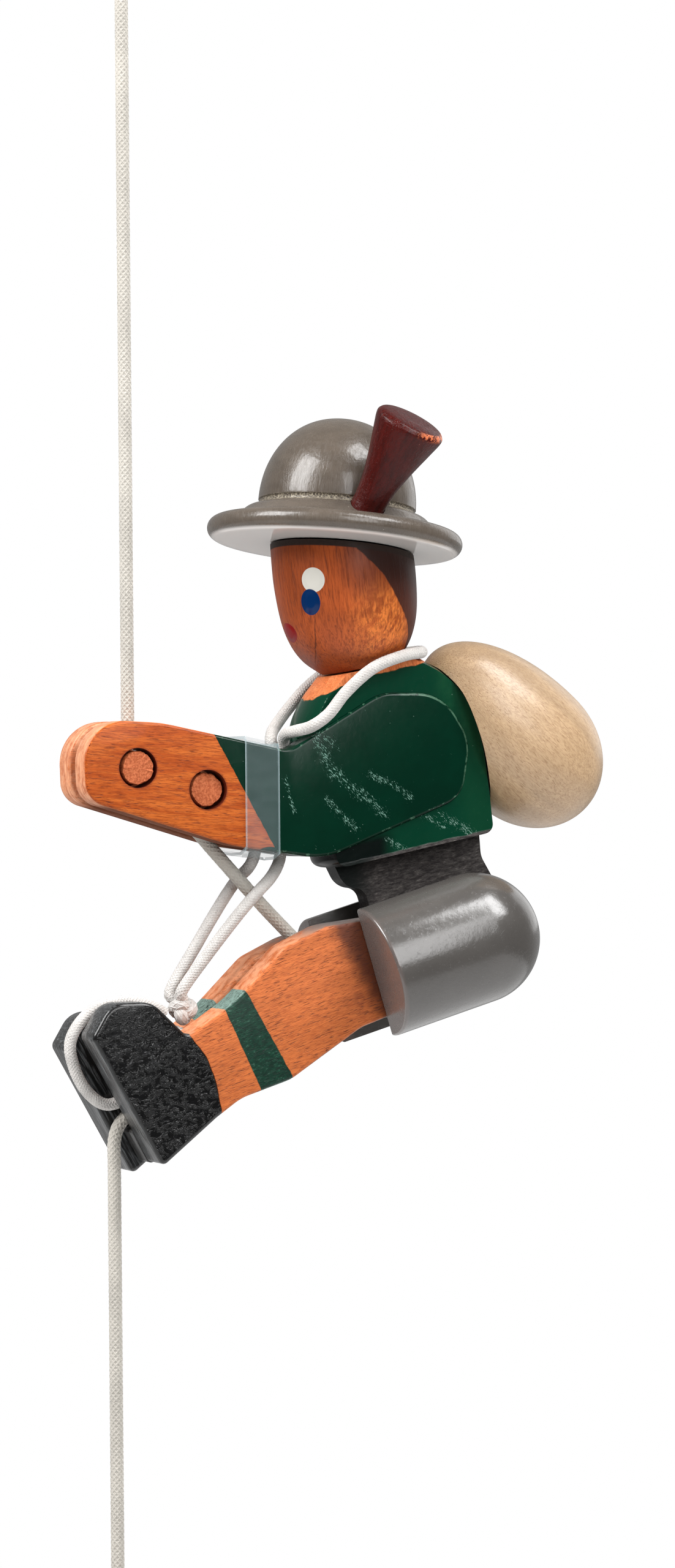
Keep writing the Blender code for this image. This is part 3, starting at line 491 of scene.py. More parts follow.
def shift(x, y, z):
    return Matrix.Translation((x, y, z))


TORSO = lean(*TORSO_TOP, -TORSO_LEAN)
NECK = TORSO @ shift(-NECK_FORWARD, 0.0, 0.0)
HEAD = NECK @ turn(TORSO_LEAN - HEAD_LEAN)
HAT = HEAD @ shift(-HAT_FORWARD, 0.0, HEAD_HEIGHT) @ turn(HEAD_LEAN + HAT_PITCH)
HAT = HAT @ turn(-HAT_ROLL, "X")
BRIM_SLOPE = BRIM_FALL * (CROWN_BASE - BRIM_RIM) / (BRIM_RADIUS - BRIM_RIM - CROWN_RADIUS)
PLUME_DOWN = (PLUME_OUT - CROWN_RADIUS) * BRIM_SLOPE
PLUME = shift(*(HAT @ Vector((-PLUME_FORWARD, -PLUME_OUT, CROWN_BASE - PLUME_DOWN))))
PLUME = PLUME @ Vector(PLUME_WAY).to_track_quat("Z", "Y").to_matrix().to_4x4()
PACK = lean(*PACK_TIP, PACK_TILT - 90.0)
PACK_DOWEL = TORSO @ shift(CHEST, 0.0, -PACK_SEAT_DOWN) @ turn(90.0)
TROUSER = lean(*HIP, 90.0 - TROUSER_SLOPE)


def smooth_curve(points, steps):
    """Points on a Catmull-Rom curve through the given ones."""
    padded = [2 * Vector(points[0]) - Vector(points[1])]
    padded += [Vector(point) for point in points]
    padded += [2 * Vector(points[-1]) - Vector(points[-2])]
    curve = []
    for a, b, c, d in zip(padded, padded[1:], padded[2:], padded[3:]):
        cubic = 3 * b - a - 3 * c + d
        square = 2 * a - 5 * b + 4 * c - d
        for step in range(steps):
            t = step / steps
            curve.append(0.5 * (2 * b + (c - a) * t + square * t * t + cubic * t * t * t))
    return [*curve, padded[-2]]


def arc(centre, radius, start, end, steps):
    angles = [math.radians(start + (end - start) * step / steps) for step in range(steps + 1)]
    return [(centre[0] + radius * math.cos(a), centre[1] + radius * math.sin(a)) for a in angles]


def outline_of(corners):
    """Corners of x, z and radius as a filleted outline."""
    outline = []
    for index, (x, z, radius) in enumerate(corners):
        here = Vector((x, z))
        before = (Vector(corners[index - 1][:2]) - here).normalized()
        after = (Vector(corners[(index + 1) % len(corners)][:2]) - here).normalized()
        opening = before.angle(after)
        centre = here + (before + after).normalized() * radius / math.sin(opening / 2.0)
        first = here + before * radius / math.tan(opening / 2.0) - centre
        last = here + after * radius / math.tan(opening / 2.0) - centre
        sweep = math.atan2(first.cross(last), first.dot(last))
        steps = max(1, math.ceil(abs(sweep) / math.radians(FILLET_STEP)))
        for step in range(steps + 1):
            spoke = first.copy()
            spoke.rotate(Matrix.Rotation(sweep * step / steps, 2))
            outline.append(centre + spoke)
    return outline


def grown(outline, margin):
    """The outline with its edge moved outwards."""
    area = sum(a.cross(b) for a, b in zip(outline, outline[1:] + outline[:1]))
    side = math.copysign(margin, area)
    moved = []
    for index, point in enumerate(outline):
        before = (point - outline[index - 1]).normalized()
        after = (outline[(index + 1) % len(outline)] - point).normalized()
        tangent = (before + after).normalized()
        moved.append(point + Vector((tangent.y, -tangent.x)) * side)
    return moved


def mesh_from(build):
    """A closed mesh with outward faces from a bmesh that build fills."""
    shape = bmesh.new()
    build(shape)
    bmesh.ops.remove_doubles(shape, verts=shape.verts, dist=0.001)
    bmesh.ops.recalc_face_normals(shape, faces=shape.faces)
    mesh = bpy.data.meshes.new("shape")
    shape.to_mesh(mesh)
    shape.free()
    return mesh


def board(outline, near, far):
    """A board between two values of y."""

    def build(shape):
        ring = [shape.verts.new((point.x, near, point.y)) for point in outline]
        moved = bmesh.ops.extrude_face_region(shape, geom=[shape.faces.new(ring)])["geom"]
        verts = [item for item in moved if isinstance(item, bmesh.types.BMVert)]
        bmesh.ops.translate(shape, verts=verts, vec=(0.0, far - near, 0.0))

    return mesh_from(build)


def turned(profile, steps, matrix=Matrix.Identity(4)):
    """A turned solid from a profile of radius and height."""

    def build(shape):
        verts = [shape.verts.new((point[0], 0.0, point[1])) for point in profile]
        edges = [shape.edges.new(pair) for pair in zip(verts, verts[1:])]
        about = {"cent": (0.0, 0.0, 0.0), "axis": (0.0, 0.0, 1.0), "angle": math.tau}
        bmesh.ops.spin(shape, geom=verts + edges, steps=steps, use_merge=True, **about)

    mesh = mesh_from(build)
    mesh.transform(matrix)
    return mesh


def rod_profile(radius, bottom, top, chamfer=0.0):
    """The profile of a dowel."""
    inner = radius - chamfer
    foot = [(0.0, bottom), (inner, bottom), (radius, bottom + chamfer)]
    return foot + [(radius, top - chamfer), (inner, top), (0.0, top)]


def cross_rod(x, z, radius, near, far, facets=PIN_FACETS):
    """A rod along Y."""
    return turned(rod_profile(radius, near, far), facets, shift(x, 0.0, z) @ turn(-90.0, "X"))


def linked(name, data):
    """A new object in the scene."""
    obj = bpy.data.objects.new(name, data)
    bpy.context.scene.collection.objects.link(obj)
    return obj


def worked(mesh, *steps):
    """The mesh after booleans, as (operation, mesh), and bevels, as (width, segments, angle)."""
    work = linked("work", mesh)
    tools = []
    for index, step in enumerate(steps):
        if isinstance(step[0], str):
            tools.append(linked(f"tool_{index}", step[1]))
            modifier = work.modifiers.new(tools[-1].name, "BOOLEAN")
            modifier.operation = step[0]
            modifier.solver = "EXACT"
            modifier.object = tools[-1]
        else:
            modifier = work.modifiers.new("soft_edge", "BEVEL")
            modifier.width, modifier.segments = step[:2]
            modifier.limit_method = "ANGLE"
            modifier.angle_limit = math.radians(step[2])
    graph = bpy.context.evaluated_depsgraph_get()
    result = bpy.data.meshes.new_from_object(work.evaluated_get(graph))
    for obj in [work, *tools]:
        bpy.data.objects.remove(obj, do_unlink=True)
    return result


def painted(mesh, name, context):
    """Give a mesh its only finish."""
    mesh.materials.clear()
    mesh.materials.append(finish_of(name, context))


def piece(context, name, mesh, finish, body, node, sharp=35.0):
    """A finished piece of the toy, from a mesh in the figure's frame."""
    mesh.transform(TO_ROW)
    mesh.name = name
    painted(mesh, finish, context)
    mesh.shade_smooth()
    mesh.set_sharp_from_angle(angle=math.radians(sharp))
    obj = linked(name, mesh)
    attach(obj, body)
    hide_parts(node)
    return obj


# ---- cord surface ----


def braid_tree():
    """A braided cord along a curve: two families of carriers over a core."""
    tree = bpy.data.node_groups.new("braid", "GeometryNodeTree")
    tree.interface.new_socket("Geometry", in_out="INPUT", socket_type="NodeSocketGeometry")
    for name, kind, value in (
        ("Radius", "NodeSocketFloat", 0.0012),
        ("Carriers", "NodeSocketInt", 8),
        ("Pitch", "NodeSocketFloat", 0.008),
        ("Carrier Radius", "NodeSocketFloat", 0.0003),
        ("Weave", "NodeSocketFloat", 0.00008),
        ("Step", "NodeSocketFloat", 0.0003),
        ("Material", "NodeSocketMaterial", None),
    ):
        socket = tree.interface.new_socket(name, in_out="INPUT", socket_type=kind)
        if value is not None:
            socket.default_value = value
    tree.interface.new_socket("Geometry", in_out="OUTPUT", socket_type="NodeSocketGeometry")
    given = tree.nodes.new("NodeGroupInput").outputs
    add = partial(add_node, tree)

    def calc(operation, *values):
        return add("ShaderNodeMath", {"operation": operation}, values)

    def vectors(operation, *values):
        return add("ShaderNodeVectorMath", {"operation": operation}, values)

    def scaled(vector, scale):
        return add("ShaderNodeVectorMath", {"operation": "SCALE"}, {0: vector, "Scale": scale})

    # Every carrier is a copy of the line, the second family turning the other way
    resampled = {"Curve": given["Geometry"], "Length": given["Step"]}
    line = add("GeometryNodeResampleCurve", {"mode": "LENGTH"}, resampled)
    both = calc("MULTIPLY", given["Carriers"], 2.0)
    amount = {"Geometry": line, "Amount": both}
    copies = add("GeometryNodeDuplicateElements", {"domain": "SPLINE"}, amount)
    index = copies.node.outputs["Duplicate Index"]
    second = calc("GREATER_THAN", index, calc("SUBTRACT", given["Carriers"], 0.5))
    way = calc("SUBTRACT", 1.0, calc("MULTIPLY", second, 2.0))
    # A carrier's angle round the line, and its distance from it, in front or behind
    along = add("GeometryNodeSplineParameter", output="Length")
    turns = calc("DIVIDE", along, given["Pitch"])
    share = calc("DIVIDE", index, given["Carriers"])
    angle = calc("MULTIPLY", calc("ADD", calc("MULTIPLY", turns, way), share), math.tau)
    rows = calc("COSINE", calc("MULTIPLY", calc("MULTIPLY", turns, both), math.pi))
    weave = calc("MULTIPLY", calc("MULTIPLY", rows, way), given["Weave"])
    reach = calc("ADD", calc("SUBTRACT", given["Radius"], given["Carrier Radius"]), weave)
    normal = add("GeometryNodeInputNormal")
    across = vectors("CROSS_PRODUCT", add("GeometryNodeInputTangent"), normal)
    first, other = scaled(normal, calc("COSINE", angle)), scaled(across, calc("SINE", angle))
    spoke = vectors("ADD", first, other)
    moved = {"Geometry": copies, "Offset": scaled(spoke, reach)}
    carriers = add("GeometryNodeSetPosition", {}, moved)
    core_radius = calc("SUBTRACT", given["Radius"], calc("MULTIPLY", given["Carrier Radius"], 0.5))
    joined = tree.nodes.new("GeometryNodeJoinGeometry")
    tubes = ((line, 24, core_radius), (carriers, 6, given["Carrier Radius"]))
    for path, resolution, radius in tubes:
        circle = {"Resolution": resolution, "Radius": radius}
        profile = add("GeometryNodeCurvePrimitiveCircle", {}, circle)
        swept = {"Curve": path, "Profile Curve": profile, "Fill Caps": True}
        tree.links.new(add("GeometryNodeCurveToMesh", {}, swept), joined.inputs[0])
    smooth = add("GeometryNodeSetShadeSmooth", {}, [joined.outputs[0]])
    real = add("GeometryNodeRealizeInstances", {}, [smooth])
    coated = add("GeometryNodeSetMaterial", {}, {"Geometry": real, "Material": given["Material"]})
    tree.links.new(coated, tree.nodes.new("NodeGroupOutput").inputs[0])
    return tree


def braided(context, name, points, kind, diameter, pitch_share, thread, weave):
    """A braided cord along points of the row frame, as a plain mesh that stands for solids."""
    data = bpy.data.curves.new(name, "CURVE")
    data.dimensions = "3D"
    spline = data.splines.new("POLY")
    spline.points.add(len(points) - 1)
    for point, position in zip(spline.points, points):
        point.co = (*position, 1.0)
    guide = linked(name + "_guide", data)
    modifier = guide.modifiers.new("braid", "NODES")
    modifier.node_group = bpy.data.node_groups.get("braid") or braid_tree()
    settings = context.scene.toy_sizes
    values = {
        "Radius": diameter / 2.0 * MM,
        "Carriers": settings.carriers,
        "Pitch": settings.braid_pitch * pitch_share * MM,
        "Carrier Radius": thread * MM,
        "Weave": weave * MM,
        "Step": BRAID_STEP * MM,
        "Material": finish_of(kind, context),
    }
    for item in modifier.node_group.interface.items_tree:
        if item.name in values:
            modifier[item.identifier] = values[item.name]
    graph = bpy.context.evaluated_depsgraph_get()
    mesh = bpy.data.meshes.new_from_object(guide.evaluated_get(graph))
    bpy.data.objects.remove(guide, do_unlink=True)
    bpy.data.curves.remove(data)
    mesh.name = name
    painted(mesh, kind, context)
    return linked(name, mesh)


def tucked(obj, centre):
    """Narrow a cord's end, which lies inside another run."""
    for vertex in obj.data.vertices:
        if abs(vertex.co.z - centre.z) < OVERLAP * MM * 0.9:
            vertex.co.x = centre.x + (vertex.co.x - centre.x) * TUCKED_SHARE
            vertex.co.y = centre.y + (vertex.co.y - centre.y) * TUCKED_SHARE
    obj.data.update()


# ---- finishes ----


def wood_layers(finish, matrix, colours, grain=1.0, seed=0.0):
    """Colour and fibre height of stained wood whose grain runs along the frame's X."""
    light, middle, dark = colours
    place = finish.turned_place(matrix)
    broad = finish.noise((0.05, 0.45, 0.45), 3.0, 0.6, seed, 0.7, place)
    fine = (0.5 * grain, 5.0 * grain, 5.0 * grain)
    fibre = finish.noise(fine, 4.0, 0.7, seed + 1.0, place=place)
    fine = (0.6 * grain, 6.0 * grain, 6.0 * grain)
    pores = finish.noise(fine, 2.0, 0.5, seed + 2.0, place=place).step(0.58, 0.72)
    colour = finish.coats(
        light,
        (broad.step(0.36, 0.64), middle),
        (fibre.step(0.42, 0.64) * 0.6, dark),
        (pores * 0.75, dim(dark, 0.45)),
    )
    return colour, fibre * 0.5 - pores + 0.5


def stained_wood(name, matrix, roughness, *colours):
    finish = Finish(name)
    colour, height = wood_layers(finish, matrix, colours)
    return finish.close(colour, roughness, finish.bump(height, 0.05, 0.5))


def green_paint(finish, settings):
    """Dark green lacquer with fine dust."""
    cloud = finish.noise(0.12, 3.0, 0.6)
    return finish.coats(
        settings.shirt,
        (cloud.step(0.3, 0.7), dim(settings.shirt, 0.8)),
        (finish.specks(1.1, 0.1, 0.12) * 0.45, srgb(150, 175, 165)),
        (finish.specks(0.45, 0.05, 0.3) * 0.7, srgb(170, 190, 180)),
    )


def scuffs(finish, lines):
    """Thin broken scratches, gathered round lines on the side, each with its reach."""
    sloped = finish.turned_place(turn(50.0))
    streak = finish.noise((1.8, 5.5, 5.5), 4.0, 0.75, 4.0, place=sloped)
    patch = finish.noise(0.5, 2.0, 0.6, 5.0)
    near = [finish.off_line(start, end).step(reach * 1.15, 0.0) for start, end, reach in lines]
    return (streak + reduce(Value.most, near) * 0.19 + patch * 0.2 - 0.31).step(0.5, 0.6)


def string_finish(settings):
    """Cotton, fuzzy and slightly soiled."""
    finish = Finish("cotton_braid")
    fuzz = finish.noise(3.0, 4.0, 0.7)
    soil = finish.noise((0.25, 0.25, 0.12), 3.0, 0.6, 2.0)
    colour = finish.coats(
        settings.string,
        (soil.step(0.35, 0.7), dim(settings.string, 0.86)),
        (fuzz.step(0.5, 0.75) * 0.2, srgb(165, 158, 146)),
    )
    return finish.close(colour, 0.9, finish.bump(fuzz + soil, 0.1, 0.8), Sheen_Weight=0.25)


def elastic_finish(settings):
    """The elastic's woven cover."""
    finish = Finish("elastic_cover")
    fuzz = finish.noise(4.0, 4.0, 0.7, 3.0)
    soil = finish.noise(0.3, 3.0, 0.6, 5.0)
    colour = finish.coats(
        settings.elastic,
        (soil.step(0.35, 0.7), dim(settings.elastic, 0.84)),
        (fuzz.step(0.5, 0.78) * 0.25, srgb(170, 160, 152)),
    )
    return finish.close(colour, 0.88, finish.bump(fuzz + soil, 0.1, 0.8), Sheen_Weight=0.25)


def hat_finish(settings):
    """Warm grey gloss, stippled groove, dust, fine turning marks; pale painted reflection below.
    """
    finish = Finish("hat_lacquer")
    place = finish.turned_place(HAT)
    x, y, z = finish.split(place)
    radius = (x * x + y * y).root()
    cloud = finish.noise((0.2, 0.2, 0.5), 4.0, 0.6, place=place)
    grit = finish.noise(3.2, 3.0, 0.8, 2.0, place=place)
    marks = finish.noise((2.0, 2.0, 0.1), 4.0, 0.7, 3.0, place=place)
    soft = finish.noise(0.4, 3.0, 0.6, 6.0, place=place)
    groove = z.step(CROWN_BASE - 0.5, CROWN_BASE) * z.step(CROWN_BASE + 1.2, CROWN_BASE + 0.7)
    groove = groove * radius.step(CROWN_RADIUS - 1.5, CROWN_RADIUS - 1.0) * radius.step(15.6, 14.9)
    # The underside: near-white and smooth, a painted reflection of the bright floor
    under = z.step(0.6, 0.1)
    colour = finish.coats(
        settings.hat,
        (cloud.step(0.3, 0.7), dim(settings.hat, 0.8)),
        (groove * grit.step(0.45, 0.6), srgb(176, 166, 146)),
        (groove * grit.step(0.5, 0.38) * 0.8, srgb(58, 50, 42)),
        (finish.specks(0.5, 0.08, 0.3) * 0.6, srgb(190, 182, 168)),
        (under * 0.95, srgb(232, 228, 224)),
    )
    height = (soft * 1.1 + marks * 0.7) * (1.0 - under) - groove * grit * 1.2
    rough = (marks.step(0.35, 0.65) * 0.25 + groove * 0.35 + 0.14) * (1.0 - under) + under * 0.1
    return finish.close(colour, rough, finish.bump(height, 0.16, 0.6), 0.35, (0.3, 0.08))


def plume_finish(settings):
    """Dark red-brown stain, its rim worn on the near side."""
    finish = Finish("plume_stain")
    place = finish.turned_place(PLUME)
    x, y, z = finish.split(place)
    radius = (x * x + y * y).root()
    streak = finish.noise((1.3, 1.3, 0.12), 4.0, 0.65, 1.0, place=place)
    wear = finish.noise(1.6, 3.0, 0.7, 2.0, place=place)
    near = PLUME.to_3x3().inverted() @ Vector((0.75, -0.65, -0.1))
    rim = abs(radius - PLUME_TOP * 0.93).step(0.6, 0.25)
    rim = rim * z.step(PLUME_LENGTH * 0.9, PLUME_LENGTH * 0.96)
    rim = rim * (x * near.x + y * near.y).step(2.6, 4.4)
    colour = finish.coats(
        settings.plume,
        (streak.step(0.35, 0.7), dim(settings.plume, 0.55)),
        (rim * wear.step(0.42, 0.52), srgb(205, 112, 72)),
        (finish.specks(0.9, 0.06, 0.3) * 0.5, srgb(200, 150, 130)),
    )
    normal = finish.bump(streak * 0.7 + wear * 0.8, 0.3, 0.8)
    return finish.close(colour, 0.3, normal, 0.15, (0.12, 0.12))


def head_finish(settings):
    """Stained wood with painted hair, eyes and mouth, and painted light and shade."""
    finish = Finish("head_paint")
    x, y, z = finish.x, finish.y, finish.z
    place = finish.turned_place(HEAD @ turn(90.0))
    broad = finish.noise(0.1, 2.0, 0.5, 3.0, 0.4)
    fibre = finish.noise((0.22, 2.6, 2.6), 5.0, 0.7, 1.0, 0.6, place)
    pores = finish.noise((0.17, 3.2, 3.2), 3.0, 0.6, 2.0, place=place).step(0.57, 0.68)
    sloped = finish.turned_place(turn(25.0))
    ripple = finish.noise((0.85, 0.85, 0.42), 2.5, 0.6, 5.0, 1.1, sloped)
    # Painted light: glow brightens the lower right of the head, the grain's ripple showing in it
    glow = finish.away((45.5, -12.5, 25.5), (9.0, 12.0, 10.5)).step(1.15, 0.1)
    # Painted shadow of the hat: shade darkens the top right of the head beside the hair
    shade = finish.away((41.0, -12.5, 36.0), (7.0, 12.0, 7.0)).step(1.2, 0.3)
    # Painted shade: front darkens the front of the face and the chin
    front = (x * -1.0 + 36.0).step(-2.0, 6.0).most(z.step(22.5, 18.5))
    across = x * 0.927 - y * 0.375 + (ripple - 0.5) * 0.5
    crack = abs(across - 33.2).step(0.16, 0.05) * y.step(0.0, -1.0)
    crack = crack * z.step(18.0, 20.0) * z.step(27.5, 25.0)
    wood = finish.coats(
        settings.head,
        (broad.step(0.35, 0.65), dim(settings.head, 0.72)),
        (glow * (ripple.step(0.35, 0.65) * 0.65 + 0.25), srgb(240, 136, 62)),
        (glow * ripple.step(0.5, 0.32) * 0.45, srgb(150, 66, 28)),
        ((shade * 0.7).most(front * 0.35), srgb(112, 52, 28)),
        (fibre.step(0.42, 0.64) * 0.6, srgb(104, 42, 18)),
        (pores * (0.5 - glow * 0.35), srgb(86, 34, 16)),
        (crack * 0.6, srgb(64, 26, 14)),
    )
    hx, hy, hz = finish.split(finish.turned_place(HEAD))
    turnback = abs(hy).math("ARCTAN2", hx * -1.0) * (180.0 / math.pi)
    wobble = finish.noise(0.6, 2.0, 0.5, 7.0)
    hair = (turnback - finish.polyline(hz, HAIR_EDGE) + wobble * 3.0).step(0.6, 2.4)
    dark = dim(settings.hair, 0.3)
    brown = finish.coats(
        settings.hair, (hz.step(8.0, 19.0), dark), (fibre.step(0.45, 0.7) * 0.5, dark)
    )
    # A dark ring on the head just under the hat, rougher than the wood
    ring_under_hat = finish.split(finish.turned_place(HAT))[2].step(-1.5, -1.25)

    def pair(spot, stretch):
        """Distance from the nearer of a spot and its mirror image."""
        across, out, up = spot
        return finish.away((across, -out, up), stretch).least(finish.away(spot, stretch))

    white = pair((32.0, 8.5, 33.1), (2.25, 2.25, 2.2))
    blue = pair((31.9, 7.5, 29.2), (1.9, 2.0, 2.35))
    red = finish.away((30.9, 0.0, 24.0), (2.4, 2.6, 1.8))
    eyes, pupils, mouth = white.step(1.03, 0.98), blue.step(1.03, 0.98), red.step(1.06, 0.96)
    colour = finish.coats(
        wood,
        (hair, brown),
        (ring_under_hat, srgb(44, 32, 27)),
        (mouth, srgb(122, 2, 2)),
        (eyes, srgb(204, 202, 194)),
        (pupils, srgb(0, 38, 84)),
    )
    paint = eyes.most(pupils.most(mouth))
    domes = white.step(1.05, 0.55).most(blue.step(1.05, 0.4) * 1.6).most(red.step(1.05, 0.5))
    rough = 0.42 - eyes.most(pupils) * 0.24 + ring_under_hat * 0.2 - mouth * 0.06 + hair * 0.15
    height = (fibre * 0.5 - pores * 0.6 - crack + ripple * 0.4) * (1.0 - paint)
    height = height + domes * 2.5 + hair * 0.4
    return finish.close(colour, rough, finish.bump(height, 0.1, 0.6), 0.22, (0.08, 0.25))


def torso_finish(settings):
    """Green shirt, bare wood at the neck, a grey underside and tongue."""
    finish = Finish("torso_paint")
    x, z = finish.x, finish.z
    green = finish.mix(0.4, green_paint(finish, settings), srgb(0, 66, 44))
    wobble = finish.noise(0.35, 2.0, 0.5, 7.0) - 0.5
    bare = (z - finish.polyline(x, NECK_EDGE) + wobble).step(0.0, 0.25)
    colours = (srgb(232, 142, 88), srgb(214, 118, 66), srgb(160, 76, 40))
    wood, grain = wood_layers(finish, TORSO @ turn(90.0), colours)
    edge = abs(finish.y)
    chips = finish.noise(0.9, 3.0, 0.65, 3.0)
    worn = edge.step(6.2, 6.42) * edge.step(6.495, 6.47) * chips.step(0.52, 0.62)
    # Painted reflection of the backpack: lighter green towards the rear, broken into streaks
    reflection_streaks = finish.noise((0.25, 0.8, 0.2), 3.0, 0.6, 9.0).step(0.5, 0.7)
    rear = (x + z * 0.22).step(57.5, 62.0) * (reflection_streaks * 0.6 + 0.4)
    tz = finish.split(finish.turned_place(TORSO))[2]
    below = (tz + wobble * 0.5).step(0.75 - TORSO_HEIGHT, 0.4 - TORSO_HEIGHT)
    # Painted shade: near-black low on the front of the barrel, by the hem
    dark = tz.step(5.0 - TORSO_HEIGHT, 3.0 - TORSO_HEIGHT) * (x + finish.y * 0.3).step(47.0, 43.0)
    # Painted shade: the tongue's front is near-black, and a little glossier
    front = x.step(46.5, 41.5)
    sloped = finish.turned_place(turn(-12.0))
    grit = finish.noise((0.7, 2.2, 2.2), 4.0, 0.75, 5.0, place=sloped)
    grey = finish.coats(
        srgb(40, 36, 36),
        (grit.step(0.35, 0.62), srgb(76, 72, 70)),
        (grit.step(0.58, 0.68) * 0.35, srgb(140, 134, 130)),
        (front, srgb(10, 18, 16)),
    )
    rub = scuffs(finish, TORSO_SCUFFS) * (1.0 - below) * (1.0 - bare)
    colour = finish.coats(
        green,
        (bare, wood),
        (worn * 0.5 * (1.0 - bare), srgb(150, 178, 160)),
        (rear * 0.35 * (1.0 - bare), srgb(30, 82, 50)),
        (dark, srgb(4, 12, 10)),
        (below, grey),
        (rub * 0.75, srgb(140, 180, 165)),
    )
    skin = finish.noise(0.35, 3.0, 0.6, 2.0)
    rough = 0.25 + bare * 0.22 + below * 0.3 - below * front * 0.1 + rub * 0.2
    height = skin * 0.8 + grain * bare * 0.4 + grit * below * 1.6
    return finish.close(colour, rough, finish.bump(height, 0.16, 0.6), 0.15, (0.12, 0.12))


def arm_finish(settings):
    """Bare stained hand, green sleeve with scuffed streaks."""
    finish = Finish("arm_paint")
    colours = (srgb(200, 103, 40), srgb(174, 78, 25), srgb(112, 40, 12))
    bare, grain = wood_layers(finish, turn(4.0), colours, 0.9)
    edge = abs(finish.y)
    side = edge.step(6.95, 6.6).most(edge.step(1.75, 1.5))
    face = edge.step(6.98, 7.06)
    chips = finish.noise(0.7, 3.0, 0.65, 6.0)
    layers = finish.noise((0.15, 3.2, 0.15), 2.0, 0.5, 9.0)
    ends = finish.mix(layers.step(0.46, 0.6) * 0.6, srgb(236, 176, 138), srgb(176, 98, 62))
    # Painted shade: dark brown, matt and uncoated on the lower edges of the hand, between the
    # boards
    lower_edge_shade = side * (finish.z * -1.0 - finish.x * 0.34).step(3.5, 6.5) * finish.x.step(-9.5, -5.0)
    bare = finish.coats(
        bare,
        (side * (chips.step(0.3, 0.6) * 0.45 + 0.3), ends),
        (lower_edge_shade * 0.85, srgb(74, 36, 24)),
    )
    for _, x, z in PEGS:
        away = finish.away((x, 0.0, z), (1.0, 1000.0, 1.0))
        near = (away + chips * 0.5).step(4.15, 3.85)
        bare = finish.coats(
            bare,
            (away.step(3.6, 3.5), srgb(96, 36, 20)),
            (near * face * away.step(3.48, 3.56) * 0.4, srgb(112, 44, 20)),
        )
    rub = scuffs(finish, ARM_SCUFFS)
    # Pale chipped rim of the sleeve: a painted highlight on the upper right, worn paint where
    # chips are strong elsewhere
    rim = edge.step(6.5, 6.62) * edge.step(7.1, 7.06)
    lit = (finish.x * 0.8 + finish.z * 0.6).step(45.0, 50.0).most(chips.step(0.56, 0.66))
    green = finish.coats(
        green_paint(finish, settings),
        (rub * 0.8, srgb(128, 172, 156)),
        (rim * lit * chips.step(0.34, 0.56) * 0.5, srgb(96, 140, 114)),
    )
    wobble = finish.noise(0.7, 2.0, 0.5, 4.0) - 0.5
    sleeve = finish.beyond((13.9, 5.3), (24.8, -14.2), wobble).step(-0.08, 0.08)
    drip = finish.away((23.9, -7.1, -14.9), (1.9, 3.0, 0.8)).step(1.1, 0.9)
    sleeve = sleeve.most(drip)
    colour = finish.mix(sleeve, bare, green)
    skin = finish.noise(0.4, 3.0, 0.6, 2.0)
    height = grain * (1.0 - sleeve) + skin * sleeve * 1.2
    rough = 0.44 - sleeve * 0.2 + rub * sleeve * 0.2 + lower_edge_shade * (1.0 - sleeve) * 0.5
    coat = (0.1 - lower_edge_shade * 0.1, 0.12)
    return finish.close(colour, rough, finish.bump(height, 0.07, 0.6), 0.15, coat)


